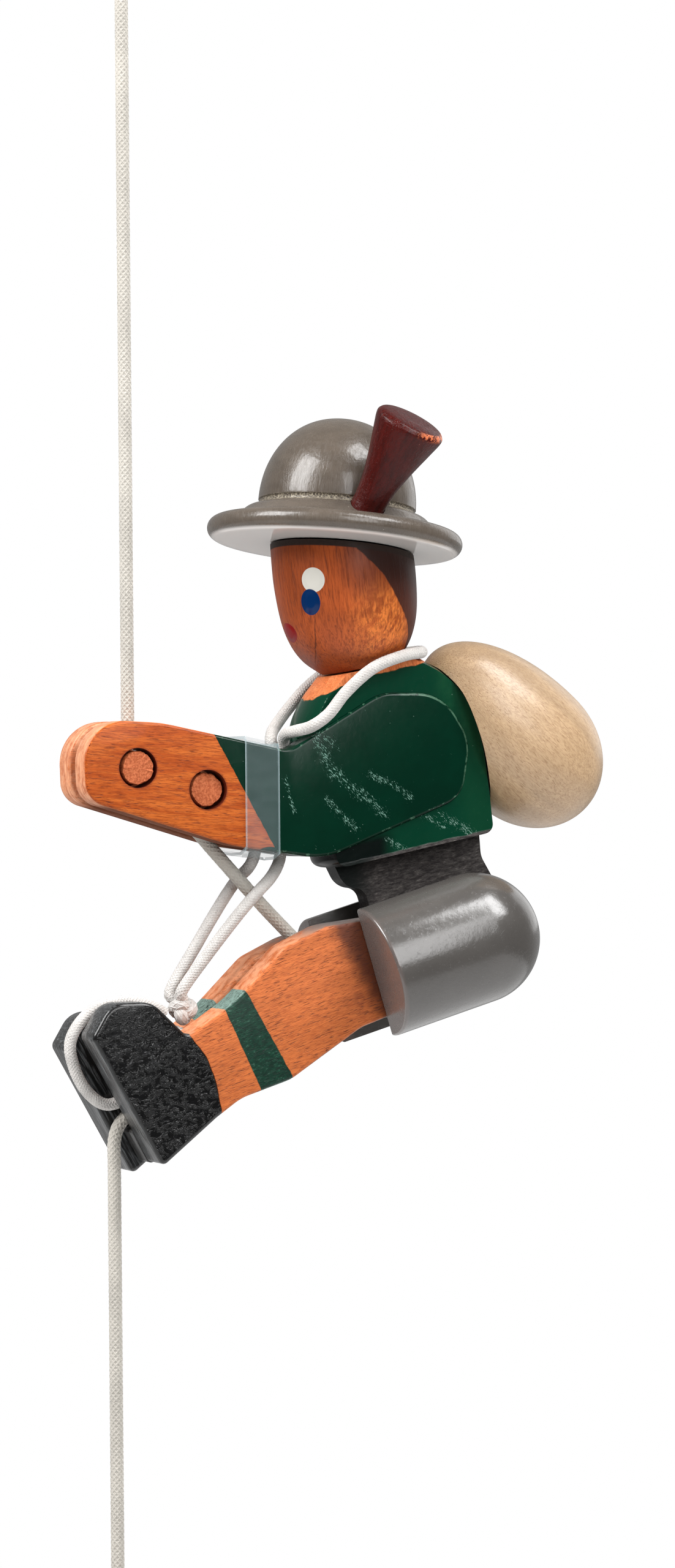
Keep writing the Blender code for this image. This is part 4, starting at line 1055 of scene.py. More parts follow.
def leg_finish(settings, side_name):
    """Bare stained leg, sock stripe and black shoe, shifted with the leg's side."""
    finish = Finish("leg_paint_" + side_name)
    finish.x = finish.x - LEG_SHIFT[side_name][0]
    finish.z = finish.z - LEG_SHIFT[side_name][1]
    finish.place = finish.node("ShaderNodeCombineXYZ", {}, [finish.x, finish.y, finish.z])
    colours = (settings.leg, dim(settings.leg, 0.85), srgb(140, 58, 24))
    bare, grain = wood_layers(finish, turn(-18.0), colours, 1.15, 3.0)
    edge = abs(finish.y)
    side = edge.step(9.9, 9.5).most(edge.step(3.0, 2.7))
    face = edge.step(9.88, 9.98)
    chips = finish.noise(0.5, 3.0, 0.6, 6.0)
    warp = finish.noise(0.5, 2.0, 0.5, 12.0)
    knot = finish.away((39.6, -10.0, -41.4), (3.0, 4.0, 2.6)) + (warp - 0.5) * 1.6
    rings = (knot * 6.0 + grain * 2.0).math("SINE") * 0.5 + 0.5
    px, _, pz = finish.split(finish.turned_place(TROUSER))
    shade = pz + TROUSER_LENGTH + 3.0 - px * 0.24 + (warp - 0.5) * 3.0
    bare = finish.coats(
        bare,
        (side * chips.step(0.3, 0.6) * 0.45, srgb(238, 180, 142)),
        (knot.step(1.2, 0.4) * (rings * 0.4 + 0.1), srgb(112, 50, 28)),
        (shade.step(-1.8, 2.2) * 0.86, srgb(60, 24, 14)),
    )
    wobble = finish.noise(0.7, 2.0, 0.5, 4.0) - 0.5
    stripe = finish.beyond((14.2, -42.7), (20.9, -57.0), wobble).step(-0.1, 0.1)
    stripe = stripe * finish.beyond((18.2, -39.5), (27.0, -55.0), wobble).step(0.1, -0.1)
    sloped = finish.turned_place(turn(-18.0))
    weave = finish.noise((1.2, 2.6, 2.6), 4.0, 0.75, 5.0, place=sloped)
    green = finish.coats(
        srgb(2, 36, 25),
        (weave.step(0.4, 0.6), srgb(10, 56, 40)),
        (weave.step(0.6, 0.7) * 0.6, srgb(84, 124, 106)),
        (side * weave.step(0.35, 0.55) * 0.7, srgb(140, 166, 156)),
    )
    shoe = (finish.polyline(finish.z, ANKLE) - finish.x + wobble * 0.3).step(-0.12, 0.12)
    sloped = finish.turned_place(turn(-6.0))
    wrinkle = finish.noise((0.6, 0.95, 0.95), 3.0, 0.6, 7.0, 0.5, sloped)
    crease = abs(wrinkle - 0.5).step(0.0, 0.2)
    # Grey streaks on the black gloss of the shoe's edges and sole: a painted reflection
    sole = finish.noise((0.2, 1.9, 2.4), 4.0, 0.7, 8.0, place=finish.turned_place(turn(60.0)))
    black = finish.coats(
        srgb(2, 2, 2),
        (face * crease, srgb(10, 10, 12)),
        (side * (sole.step(0.46, 0.66) * 0.55), srgb(116, 120, 122)),
    )
    # Grey paint that strays onto the leg's edges beside the trousers
    smear = side * finish.x.step(27.0, 33.0) * chips.step(0.3, 0.5)
    colour = finish.coats(bare, (stripe, green), (shoe, black), (smear * 0.85, srgb(98, 94, 91)))
    dents = (crease * 0.5 + wrinkle * 3.4) * face * shoe
    height = grain * (1.0 - shoe) * 0.35 + dents * 1.5 + shoe * side * sole * 0.6
    rough = 0.5 - shoe * (face * 0.16 + 0.1) - stripe * 0.1
    return finish.close(colour, rough, finish.bump(height, 0.24, 0.9), 0.28, (shoe * 0.6, 0.14))


def peg_finish():
    """Rough end grain."""
    finish = Finish("peg_wood")
    end = finish.noise((2.6, 0.3, 2.6), 4.0, 0.75, 2.0)
    colour = finish.coats(
        srgb(200, 112, 70),
        (end.step(0.38, 0.62), srgb(164, 80, 44)),
        (finish.specks(2.6, 0.2, 0.4) * 0.4, srgb(222, 150, 108)),
    )
    return finish.close(colour, 0.7, finish.bump(end, 0.1, 0.8), 0.25)


def band_finish():
    """A clear strap, seen by its edges and haze."""
    finish = Finish("clear_strap")
    haze = finish.noise((0.25, 0.25, 0.5), 3.0, 0.6)
    off = abs(finish.x - BAND_MIDDLE)
    low = abs(finish.y).step(7.6, 7.2)
    cover = haze * 0.05 + off.step(2.75, 3.1) * 0.04 + off.step(2.95, 3.15) * 0.3 + low * 0.16
    bend = finish.bump(finish.noise((0.35, 0.35, 0.12), 2.0, 0.5, 4.0), 0.3, 0.5)
    return finish.close(srgb(176, 196, 200), 0.16, bend, 0.3, Alpha=cover.least(1.0))


def pack_finish(settings):
    """Pale lacquered wood, its grain along the egg."""
    finish = Finish("pack_wood")
    place = finish.turned_place(PACK @ turn(90.0))
    broad = finish.noise((0.03, 0.22, 0.22), 3.0, 0.5, 1.0, 0.8, place)
    fibre = finish.noise((0.8, 3.2, 3.2), 4.0, 0.7, 2.0, 0.8, place)
    flecks = finish.noise((0.9, 5.0, 5.0), 2.0, 0.5, 3.0, 0.5, place).step(0.54, 0.7)
    colour = finish.coats(
        settings.pack,
        (broad.step(0.3, 0.7), dim(settings.pack, 0.8)),
        (fibre.step(0.4, 0.66) * 0.6, srgb(158, 124, 88)),
        (flecks * 0.45, srgb(140, 98, 58)),
    )
    normal = finish.bump(fibre - flecks * 0.6, 0.07, 0.8)
    return finish.close(colour, 0.4, normal, coat=(0.5, 0.25))


def trouser_finish(settings):
    """Grey lacquer with shallow pits, a brown edge at the hem."""
    finish = Finish("trouser_lacquer")
    place = finish.turned_place(TROUSER)
    hem = finish.split(place)[2].step(1.0 - TROUSER_LENGTH, 0.2 - TROUSER_LENGTH)
    cloud = finish.noise(0.15, 3.0, 0.6, place=place)
    skin = finish.noise(0.6, 3.0, 0.6, 2.0, place=place)
    pits = finish.noise(1.1, 4.0, 0.75, 3.0, place=place).step(0.52, 0.74)
    colour = finish.coats(
        settings.trousers,
        (cloud.step(0.3, 0.7), dim(settings.trousers, 0.9)),
        (finish.specks(0.5, 0.06, 0.15) * 0.15, srgb(170, 166, 158)),
        (hem * 0.5, srgb(104, 92, 88)),
    )
    normal = finish.bump(skin - pits * 0.25, 0.12, 0.5)
    return finish.close(colour, pits * 0.12 + 0.22, normal, coat=(0.6, 0.2))


def sole_finish():
    """The block between the heels: dark paint, its grey streaks a painted reflection."""
    finish = Finish("sole_paint")
    sloped = finish.turned_place(turn(60.0))
    streak = finish.noise((0.2, 1.6, 1.6), 4.0, 0.6, place=sloped)
    # Grey streaks over the dark paint are a painted reflection
    colour = finish.mix(streak.step(0.4, 0.7), srgb(34, 33, 32), srgb(84, 84, 84))
    return finish.close(colour, 0.35, finish.bump(streak, 0.08, 0.6))


FINISHES = {}


def finish_of(name, context):
    """A finish by its name; all of them are made when the first is wanted."""
    if not FINISHES:
        settings = context.scene.toy_colours
        pale = (srgb(225, 150, 95), srgb(205, 118, 66), srgb(150, 80, 42))
        orange = (srgb(205, 105, 48), srgb(176, 78, 32), srgb(120, 48, 18))
        FINISHES.update(
            string=string_finish(settings),
            elastic=elastic_finish(settings),
            hat=hat_finish(settings),
            plume=plume_finish(settings),
            head=head_finish(settings),
            torso=torso_finish(settings),
            arm=arm_finish(settings),
            leg_left=leg_finish(settings, "left"),
            leg_right=leg_finish(settings, "right"),
            peg=peg_finish(),
            band=band_finish(),
            pack=pack_finish(settings),
            trousers=trouser_finish(settings),
            sole=sole_finish(),
            dowel=stained_wood("dowel_wood", turn(90.0, "Z"), 0.55, *pale),
            bead=stained_wood("bead_wood", turn(90.0), 0.4, *orange),
        )
    return FINISHES[name]


# ---- pieces ----


def torso_profile(extra=0.0):
    """The turned barrel of the torso, or with extra the hollow that fits round it."""
    points = [
        (HEM, -TORSO_HEIGHT + HEM_EDGE),
        (CHEST * 0.985, -TORSO_HEIGHT * 0.75),
        (CHEST, -TORSO_HEIGHT * 0.5),
        (CHEST * 0.92, -TORSO_HEIGHT * 0.26),
        (SHOULDER, -TORSO_HEIGHT * 0.12),
        (NECK_RADIUS + 0.9, -0.8),
    ]
    hem = (HEM - HEM_EDGE + extra, HEM_EDGE - TORSO_HEIGHT - extra)
    profile = [(0.0, -TORSO_HEIGHT - extra), *arc(hem, HEM_EDGE, -90.0, -5.0, 8)]
    profile += [(point[0] + extra, point[1]) for point in smooth_curve(points, 10)]
    return profile + [(NECK_RADIUS + extra, extra), (0.0, extra)]


def dowel_bore(matrix, depth):
    profile = rod_profile(DOWEL_RADIUS + SEAT_GAP, -depth - SEAT_GAP, depth + SEAT_GAP)
    return ("DIFFERENCE", turned(profile, DOWEL_FACETS, matrix))


def make_torso(context):
    reach = CUT_THROUGH
    middle = Vector((TORSO_TOP[0], 0.0))
    square = [Vector(corner) * reach + middle for corner in ((-1, -1), (1, -1), (1, 1), (-1, 1))]
    seat = grown(outline_of(ARM_CORNERS), PAINTED_GAP)
    floor = ARM_INNER - SEAT_GAP
    mesh = worked(
        turned(torso_profile(), BARREL_FACETS, TORSO),
        ("INTERSECT", board(square, -TORSO_HALF, TORSO_HALF)),
        ("UNION", board(outline_of(TONGUE_CORNERS), -TONGUE_HALF, TONGUE_HALF)),
        ("DIFFERENCE", board(seat, -reach, -floor)),
        ("DIFFERENCE", board(seat, floor, reach)),
        ("DIFFERENCE", cross_rod(*HIP, PIN_BORE, -reach, reach)),
        dowel_bore(NECK, HEAD_DOWEL_DOWN),
        dowel_bore(PACK_DOWEL, PACK_DOWEL_IN),
    )
    piece(context, "torso_body", mesh, "torso", "figure", "torso", 30.0)


def make_head(context):
    radius = HEAD_RADIUS
    points = [
        (CHIN_RADIUS * 0.8, -1.2),
        (CHIN_RADIUS * 1.17, 0.4),
        (radius * 0.73, HEAD_HEIGHT * 0.12),
        (radius * 0.87, HEAD_HEIGHT * 0.26),
        (radius * 0.96, HEAD_HEIGHT * 0.45),
        (radius, HEAD_HEIGHT * 0.72),
        (radius * 0.995, HEAD_HEIGHT * 0.95),
        (radius * 0.97, HEAD_HEIGHT * 1.2),
    ]
    profile = [(0.0, -1.2), *smooth_curve(points, 8), (0.0, HEAD_HEIGHT * 1.2)]
    above = rod_profile(2.0 * BRIM_RADIUS, -SEAT_GAP, HEAD_HEIGHT)
    below = rod_profile(2.0 * BRIM_RADIUS, -HEAD_HEIGHT, SEAT_GAP)
    spigot = rod_profile(SPIGOT_RADIUS, -2.0, SPIGOT_LENGTH, 0.5)
    mesh = worked(
        turned(profile, BARREL_FACETS, HEAD),
        ("DIFFERENCE", turned(above, CUTTER_FACETS, HAT)),
        ("UNION", turned(spigot, BORE_FACETS, HAT)),
        ("DIFFERENCE", turned(below, CUTTER_FACETS, TORSO)),
        dowel_bore(NECK, HEAD_DOWEL_UP),
        HEAD_EDGE,
    )
    piece(context, "head_egg", mesh, "head", "figure", "head")
    painted(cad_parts["head_dowel"].data, "dowel", context)


def dome(radius, height, base, steps, power=1.0):
    """A profile from the rim at its base to the top on the axis."""
    angles = [math.radians(90.0 * step / steps) for step in range(steps)]
    rise = [(radius * math.cos(a) ** power, base + height * math.sin(a)) for a in angles]
    return [*rise, (0.0, base + height)]


def make_hat(context):
    rim = BRIM_RIM / 2.0
    base = CROWN_BASE
    socket = SPIGOT_RADIUS + SEAT_GAP
    profile = [(0.0, SOCKET_DEPTH), (socket, SOCKET_DEPTH), (socket, SEAT_GAP)]
    profile += [(socket + SEAT_GAP, 0.0), (BRIM_RADIUS - rim - 1.0, 0.0)]
    profile += arc((BRIM_RADIUS - rim, rim), rim, -80.0, 75.0, 24)
    brim = [
        profile[-1],
        (BRIM_RADIUS - 2.3 * rim, BRIM_RIM + 0.25),
        (CROWN_RADIUS + 2.0, base - 0.7),
        (CROWN_RADIUS + 0.7, base - 0.15),
    ]
    profile += smooth_curve(brim, 6)[1:]
    groove = ((0.45, 0.0), (0.05, 0.05), (-0.3, 0.2), (-0.36, 0.5), (-0.22, 0.85))
    profile += [(CROWN_RADIUS + out, base + up) for out, up in groove]
    profile += dome(CROWN_RADIUS, CROWN_HEIGHT - 1.0, base + 1.0, 36, 0.92)
    play, bottom, top = PLUME_HOLE
    hole = turned(rod_profile(PLUME_BASE + play, bottom, top), HOLE_FACETS, PLUME)
    mesh = worked(turned(profile, HAT_FACETS, HAT), ("DIFFERENCE", hole))
    piece(context, "hat_body", mesh, "hat", "figure", "hat", 40.0)

    flare, length = PLUME_TOP - PLUME_BASE, PLUME_LENGTH
    points = [
        (PLUME_BASE, 0.0),
        (PLUME_BASE, length * 0.06),
        (PLUME_BASE + flare * 0.12, length * 0.26),
        (PLUME_BASE + flare * 0.4, length * 0.5),
        (PLUME_BASE + flare * 0.75, length * 0.74),
        (PLUME_TOP * 0.985, length * 0.9),
        (PLUME_TOP * 0.95, length * 0.955),
        (PLUME_TOP * 0.82, length * 0.985),
        (PLUME_TOP * 0.5, length),
    ]
    profile = [(0.0, -PLUME_TENON), (PLUME_BASE, -PLUME_TENON)]
    profile += [*smooth_curve(points, 10), (0.0, length * 0.995)]
    mesh = turned(profile, PLUME_FACETS, PLUME)
    piece(context, "plume", mesh, "plume", "figure", "hat_plume")


def rough_peg(x, z, near, far, seed):
    """A sawn peg along Y: its near end is ragged round the rim."""
    steps = 56
    draws = np.random.default_rng(seed).normal(0.0, 0.1, steps)
    draws = draws + 0.5 * np.roll(draws, 1) + 0.3 * np.roll(draws, 2)
    # Each ring's y, radius and raggedness
    table = (
        (near, 2.78, 0.8), (near + 0.3, 2.95, 0.6), (near + 1.2, 2.99, 0.2),
        (near + 2.4, 3.0, 0.0), (far - 0.3, 3.0, 0.0), (far, 2.7, 0.0),
    )

    def build(shape):
        rings = []
        for y, radius, jag in table:
            ring = []
            for step in range(steps):
                angle = math.tau * step / steps
                r = radius + float(draws[step]) * jag
                bow = float(draws[(step * 5) % steps]) * 0.8 * jag
                spot = (x + r * math.cos(angle), y + bow, z + r * math.sin(angle))
                ring.append(shape.verts.new(spot))
            rings.append(ring)
        middles = [shape.verts.new((x, y, z)) for y in (near - 0.05, far)]
        for step in range(steps):
            after = (step + 1) % steps
            for a, b in zip(rings, rings[1:]):
                shape.faces.new((a[step], a[after], b[after], b[step]))
            for ring, middle in zip((rings[0], rings[-1]), middles):
                shape.faces.new((ring[step], ring[after], middle))

    return mesh_from(build)


def make_arms(context):
    outline = outline_of(ARM_CORNERS)
    for side, sign in SIDES:
        near, far = sorted((sign * ARM_INNER, sign * ARM_OUTER))
        ends = (near - BORE_PAST, far + BORE_PAST)
        bores = [cross_rod(x, z, PEG_HOLE[side], *ends, BORE_FACETS) for _, x, z in PEGS]
        mesh = worked(board(outline, near, far), ARM_EDGE)
        mesh = worked(mesh, *[("DIFFERENCE", bore) for bore in bores])
        name = "arm_" + side
        piece(context, "arm_board_" + side, mesh, "arm", "figure", name, 40.0)
    for seed, (label, x, z) in enumerate(PEGS, FIRST_PEG_SEED):
        mesh = rough_peg(x, z, PEG_SUNK[label] - ARM_OUTER, ARM_OUTER - SEAT_GAP, seed)
        name = "hand_peg_" + label
        piece(context, "peg_" + label, mesh, "peg", "figure", name, 40.0)
    painted(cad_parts["arm_band"].data, "band", context)


def make_backpack(context):
    steps = 60
    profile = [(0.0, 0.0)]
    for step in range(1, steps):
        share = 0.5 - 0.5 * math.cos(math.pi * step / steps)
        span = PACK_WIDEST if share < PACK_WIDEST else 1.0 - PACK_WIDEST
        radius = PACK_RADIUS * math.sqrt(1.0 - ((share - PACK_WIDEST) / span) ** 2)
        profile.append((radius, -share * PACK_LENGTH))
    mesh = worked(
        turned([*profile, (0.0, -PACK_LENGTH)], BARREL_FACETS, PACK),
        ("DIFFERENCE", turned(torso_profile(SEAT_GAP), BARREL_FACETS, TORSO)),
        dowel_bore(PACK_DOWEL, PACK_DOWEL_OUT),
    )
    piece(context, "pack_egg", mesh, "pack", "figure", "backpack")
    painted(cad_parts["backpack_dowel"].data, "dowel", context)


def make_legs(context):
    for side, sign in SIDES:
        outline = [point + Vector(LEG_SHIFT[side]) for point in outline_of(LEG_CORNERS)]
        near, far = sorted((sign * LEG_INNER, sign * LEG_OUTER))
        start, end = LEG_INNER - BORE_PAST, LEG_INNER + PEG_SOCKET + SEAT_GAP
        ends = sorted((sign * start, sign * end))
        bores = [cross_rod(*HIP, PIN_BORE, near - BORE_PAST, far + BORE_PAST)]
        bores += [cross_rod(x, z, radius + SEAT_GAP, *ends) for x, z, radius in LEG_PEGS]
        mesh = worked(board(outline, near, far), LEG_EDGE)
        mesh = worked(mesh, *[("DIFFERENCE", bore) for bore in bores])
        name = "leg_" + side
        piece(context, "leg_board_" + side, mesh, name, "legs", name, 40.0)
    half = LEG_INNER - SEAT_GAP
    mesh = worked(board(outline_of(SPACER_CORNERS), -half, half), BLOCK_EDGE)
    piece(context, "heel_block", mesh, "sole", "legs", "foot_spacer")
    for node in ("knee_peg", "toe_peg", "hip_pin"):
        painted(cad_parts[node].data, "dowel", context)


def make_trousers(context):
    profile = [(0.0, -TROUSER_LENGTH)]
    profile += arc((TROUSER_RADIUS - 0.5, -TROUSER_LENGTH + 0.5), 0.5, -90.0, 0.0, 5)
    profile += dome(TROUSER_RADIUS, TROUSER_RADIUS, 0.0, 40)
    for side, sign in SIDES:
        half = bmesh.new()
        half.from_mesh(turned(profile, TROUSER_FACETS))
        everything = half.verts[:] + half.edges[:] + half.faces[:]
        plane = {"plane_co": (0.0, 0.0, 0.0), "plane_no": (0.0, -sign, 0.0), "dist": 0.001}
        cut = bmesh.ops.bisect_plane(half, geom=everything, clear_outer=True, **plane)
        rim = [item for item in cut["geom_cut"] if isinstance(item, bmesh.types.BMEdge)]
        bmesh.ops.holes_fill(half, edges=rim)
        mesh = bpy.data.meshes.new("half")
        half.to_mesh(mesh)
        half.free()
        x, z = LEG_SHIFT[side]
        mesh.transform(shift(x, sign * (LEG_OUTER + SEAT_GAP), z) @ TROUSER)
        mesh = worked(mesh, TROUSER_EDGE)
        name = "trouser_" + side
        piece(context, "trouser_half_" + side, mesh, "trousers", "legs", name, 40.0)


def tied_knot(context, name, centre, kind, thickness, body, node):
    """A knot of the cord in its solid's place: a small trefoil, pulled tight."""
    reach = KNOT_RADIUS - thickness / 2.0
    scale = reach / 3.0
    points = []
    for step in range(KNOT_STEPS + 1):
        t = math.tau * step / KNOT_STEPS
        x = math.sin(t) + 2.0 * math.sin(2.0 * t)
        y = math.cos(t) - 2.0 * math.cos(2.0 * t)
        z = -math.sin(3.0 * t)
        height = y * scale * KNOT_HEIGHT / (2.0 * KNOT_RADIUS)
        spot = Vector((x * scale, z * reach * 0.62, height))
        points.append(TO_ROW @ (spot + Vector(centre)))
    obj = braided(context, name, points, kind, thickness, 1.0, KNOT_THREAD, KNOT_WEAVE)
    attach(obj, body)
    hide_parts(node)
    return obj


def run_of_cord(context, name, kind, route, nodes, joint, end="object", lay="taut", **more):
    """A braided run of string or elastic along a route.

    Its joint is the one body that it rides, or two bodies and two points, when it rides
    neither and stays where it lies. More can say its steps and the ends that are tucked
    into another run; the pieces that hang on it are not used.
    """
    diameter, pitch_share, thread, stiffness = CORDS[kind]
    steps, tucks = more.pop("steps", 10), more.pop("tucks", ())
    points = [TO_ROW @ point for point in smooth_curve(route, steps)]
    obj = braided(context, name, points, kind, diameter, pitch_share, thread, CORD_WEAVE)
    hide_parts(*nodes)
    for index in tucks:
        tucked(obj, points[index])
    if len(joint) == 1:
        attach(obj, joint[0])
    else:
        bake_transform(obj)
    length = sum((b - a).length for a, b in zip(points, points[1:]))


def make_bead(context):
    bore = STRING / 2.0 + BEAD_PLAY
    start = math.degrees(math.acos(bore / BEAD_RADIUS))
    profile = []
    for step in range(BEAD_STEPS + 1):
        angle = math.radians(-start + 2.0 * start * step / BEAD_STEPS)
        profile.append((BEAD_RADIUS * math.cos(angle), BEAD_HEIGHT / 2.0 * math.sin(angle)))
    place = shift(STRING_EXIT, 0.0, BEAD_TOP - BEAD_HEIGHT / 2.0)
    mesh = turned([*profile, profile[0]], BEAD_FACETS, place)
    return piece(context, "bead", mesh, "bead", "line", "pull_bead")


def make_string(context):
    half, height = LOOP_WIDTH / 2.0, LOOP_HEIGHT
    side = [(STRING * 0.6, height), (half * 0.68, height * 0.7)]
    side += [(half, height * 0.32), (half * 0.72, height * 0.04)]
    loop = [(-x, HANG_DROP - down) for x, down in side] + [(0.0, STRING / 2.0 + HANG_DROP)]
    loop += [(x, HANG_DROP - down) for x, down in side[::-1]]
    knot_z = HANG_DROP - LOOP_HEIGHT - SEAT_GAP - KNOT_HEIGHT / 2.0
    middle, node = (0.0, 0.0, knot_z), "string_loop_knot"
    knot = tied_knot(context, "loop_knot", middle, "string", STRING_KNOT, "line", node)
    run_of_cord(
        context, "hanging_loop", "string", flat(*loop), ["string_loop"], ["line"], "knot",
        with_pieces=[knot],
    )
    high = knot_z - KNOT_HEIGHT / 2.0 - SEAT_GAP
    low = HAND_ROUTE[0][2]
    route = flat((0.0, high), (0.0, (high + low) / 2.0), (0.0, low - OVERLAP))
    joint = ("line", "figure", (0.0, 0.0, high), (0.0, 0.0, low))
    run_of_cord(context, "string_above", "string", route, ["string_upper"], joint, steps=40)

    route = HAND_ROUTE + LEG_ROUTE + GUIDE_ROUTE
    nodes = ["string_hand_run", "string_leg_run", "string_guide_run"]
    joint = ("figure", "legs", HAND_ROUTE[-1], BELOW_KNEE_PEG)
    run_of_cord(context, "string_through", "string", route, nodes, joint, tucks=(-1,))

    x = STRING_EXIT
    high, low = LEAD_TOP + 3.0 * OVERLAP, LEAD_BOTTOM
    route = flat((x, high), (x, (LEAD_TOP + low) / 2.0), (x, low))
    joint = ("legs", "figure", (x, 0.0, LEAD_TOP), (x, 0.0, low))
    run_of_cord(
        context, "string_below_sole", "string", route, ["string_lead"], joint, steps=20,
        tucks=(0, -1),
    )
    high, low = LEAD_BOTTOM + 2.0 * OVERLAP, BEAD_TOP - BEAD_HEIGHT
    middle, node = (x, 0.0, low - SEAT_GAP - KNOT_HEIGHT / 2.0), "bead_knot"
    knot = tied_knot(context, "knot_under_bead", middle, "string", STRING_KNOT, "line", node)
    bead = make_bead(context)
    route = flat((x, high), (x, (high + low) / 2.0), (x, low))
    joint = ("figure", "line", (x, 0.0, LEAD_BOTTOM), (x, 0.0, BEAD_TOP))
    run_of_cord(
        context, "string_to_bead", "string", route, ["string_tail"], joint, "knot", "hanging",
        steps=30, tucks=(0,), with_pieces=[bead, knot],
    )


def make_elastic(context):
    nodes = ["elastic_neck_loop"]
    run_of_cord(context, "elastic_round_neck", "elastic", NECK_ROUTE, nodes, ["figure"])
    for side, route in STRAND_ROUTES.items():
        end = (Vector(route[-1]) + Vector(ELASTIC_KNOT_PLACE)) / 2.0
        route = (*route, end)
        joint = ("figure", "legs", route[0], end)
        nodes = ["elastic_strand_" + side]
        run_of_cord(context, "elastic_" + side, "elastic", route, nodes, joint)
    middle, node = ELASTIC_KNOT_PLACE, "elastic_knot"
    knot = tied_knot(context, "knot_on_instep", middle, "elastic", ELASTIC_KNOT, "legs", node)
    run_of_cord(
        context, "elastic_round_toes", "elastic", TOE_ROUTE, ["elastic_toe_loop"], ["legs"],
        with_pieces=[knot],
    )


# ---- stage ----


def make_world(scene, behind, settings):
    """White where it is seen; as a light, bright behind the toy and dim before it."""
    world = bpy.data.worlds.new("studio")
    scene.world = world
    world.use_nodes = True
    tree = world.node_tree
    white = (1.0, 1.0, 1.0, 1.0)
    place = add_node(tree, "ShaderNodeTexCoord", output="Object")
    dot = {"operation": "DOT_PRODUCT"}
    facing = add_node(tree, "ShaderNodeVectorMath", dot, [place, behind], "Value")
    fade = {"interpolation_type": "SMOOTHSTEP"}
    levels = [facing, 0.1, 0.8, settings.ambient, settings.backdrop]
    light = tree.nodes["Background"]
    light.inputs["Color"].default_value = white
    strength = add_node(tree, "ShaderNodeMapRange", fade, levels)
    tree.links.new(strength, light.inputs["Strength"])
    clear = add_node(tree, "ShaderNodeBackground", {}, [white, 1.0])
    seen = add_node(tree, "ShaderNodeLightPath", output="Is Camera Ray")
    mixed = add_node(tree, "ShaderNodeMixShader", {}, [seen, light.outputs[0], clear])
    tree.links.new(mixed, tree.nodes["World Output"].inputs["Surface"])


def make_floor(settings):
    def build(shape):
        bmesh.ops.create_circle(shape, cap_ends=True, segments=FLOOR_FACETS, radius=FLOOR_RADIUS)

    mesh = mesh_from(build)
    mesh.transform(shift(0.0, 0.0, CAD_BOX[0][2] - FLOOR_DROP))
    finish = Finish("pale_floor")
    paper = finish.mix(finish.noise(0.004, 2.0, 0.5), (0.6, 0.6, 0.6), (0.62, 0.62, 0.62))
    glow = {"Emission_Color": (1.0, 1.0, 1.0), "Emission_Strength": settings.floor_glow}
    mesh.materials.append(finish.close(paper, 0.9, **glow))
    linked("floor", mesh)


def make_stage(context):
    scene = context.scene
    settings = scene.toy_studio
    azimuth = math.radians(VIEW_AZIMUTH)
    back = Vector((math.sin(azimuth), -math.cos(azimuth), 0.0))
    side = Vector((math.cos(azimuth), math.sin(azimuth), 0.0))
    up = Vector((0.0, 0.0, 1.0))
    target = Vector(VIEW_TARGET)
    camera = bpy.data.cameras.new("camera")
    camera.sensor_fit = "VERTICAL"
    half_height = 0.5 * PHOTO_HEIGHT / PHOTO_PIXELS_PER_MM / 1000.0
    camera.angle = 2.0 * math.atan(half_height / settings.camera_distance)
    view = linked("camera", camera)
    view.location = target + back * settings.camera_distance
    roll = Matrix.Rotation(VIEW_ROLL, 3, "Z")
    view.rotation_euler = (back.to_track_quat("Z", "Y").to_matrix() @ roll).to_euler()
    scene.camera = view
    make_floor(settings)
    make_world(scene, -back, settings)
    for name, offset, size, share in (
        ("key", back * 0.3 - side * 0.55 + up * 0.5, (0.42, 0.5), 1.0),
        ("fill", back * 0.62 + side * 0.3 + up * 0.3, (0.35, 0.45), 0.3),
        ("above", up * 0.62 + back * 0.24 + side * 0.4, (0.3, 0.5), 0.65),
        ("rear", side * 0.45 - back * 0.55 + up * 0.25, (0.5, 0.5), 0.08),
    ):
        data = bpy.data.lights.new(name, "AREA")
        data.shape = "RECTANGLE"
        data.size, data.size_y = size
        data.energy = settings.key * share
        light = linked(name, data)
        light.location = target + offset
        light.rotation_euler = (-offset).to_track_quat("-Z", "Y").to_euler()
    scene.view_settings.view_transform = "Standard"
    scene.view_settings.exposure = settings.exposure


# ---- add-on ----


def colour_property(name, description, default):
    return bpy.props.FloatVectorProperty(
        name=name, description=description, default=default, size=3, min=0.0, max=1.0,
        subtype="COLOR",
    )


def number_property(name, description, default, unit="NONE", **limits):
    return bpy.props.FloatProperty(
        name=name, description=description, default=default, unit=unit, **limits
    )


class ToyColours(bpy.types.PropertyGroup):
    """Colours that a user would change."""

    hat: colour_property("Hat", "Lacquer of the hat", srgb(93, 84, 75))
    trousers: colour_property("Trousers", "Lacquer of the trousers", srgb(80, 77, 74))
    shirt: colour_property("Shirt", "Lacquer of the torso and sleeves", srgb(0, 40, 26))
    plume: colour_property("Plume", "Stain of the plume", srgb(70, 12, 7))
    head: colour_property("Head", "Stain of the head", srgb(182, 86, 38))
    hair: colour_property("Hair", "Paint of the hair", srgb(80, 38, 25))
    leg: colour_property("Legs", "Stain of the legs", srgb(206, 112, 56))
    pack: colour_property("Backpack", "Lacquered wood of the backpack", srgb(199, 167, 130))
    string: colour_property("String", "Cotton of the string", srgb(192, 187, 178))
    elastic: colour_property("Elastic", "Cover of the elastic", srgb(208, 204, 200))


class ToySizes(bpy.types.PropertyGroup):
    """Sizes of the cords' braid."""

    carriers: bpy.props.IntProperty(
        name="Carriers", description="Threads each way round the cord", default=8, min=3, max=12
    )
    braid_pitch: number_property(
        "Braid Pitch", "Length of one turn of a thread, in millimetres", 8.0, min=2.0
    )


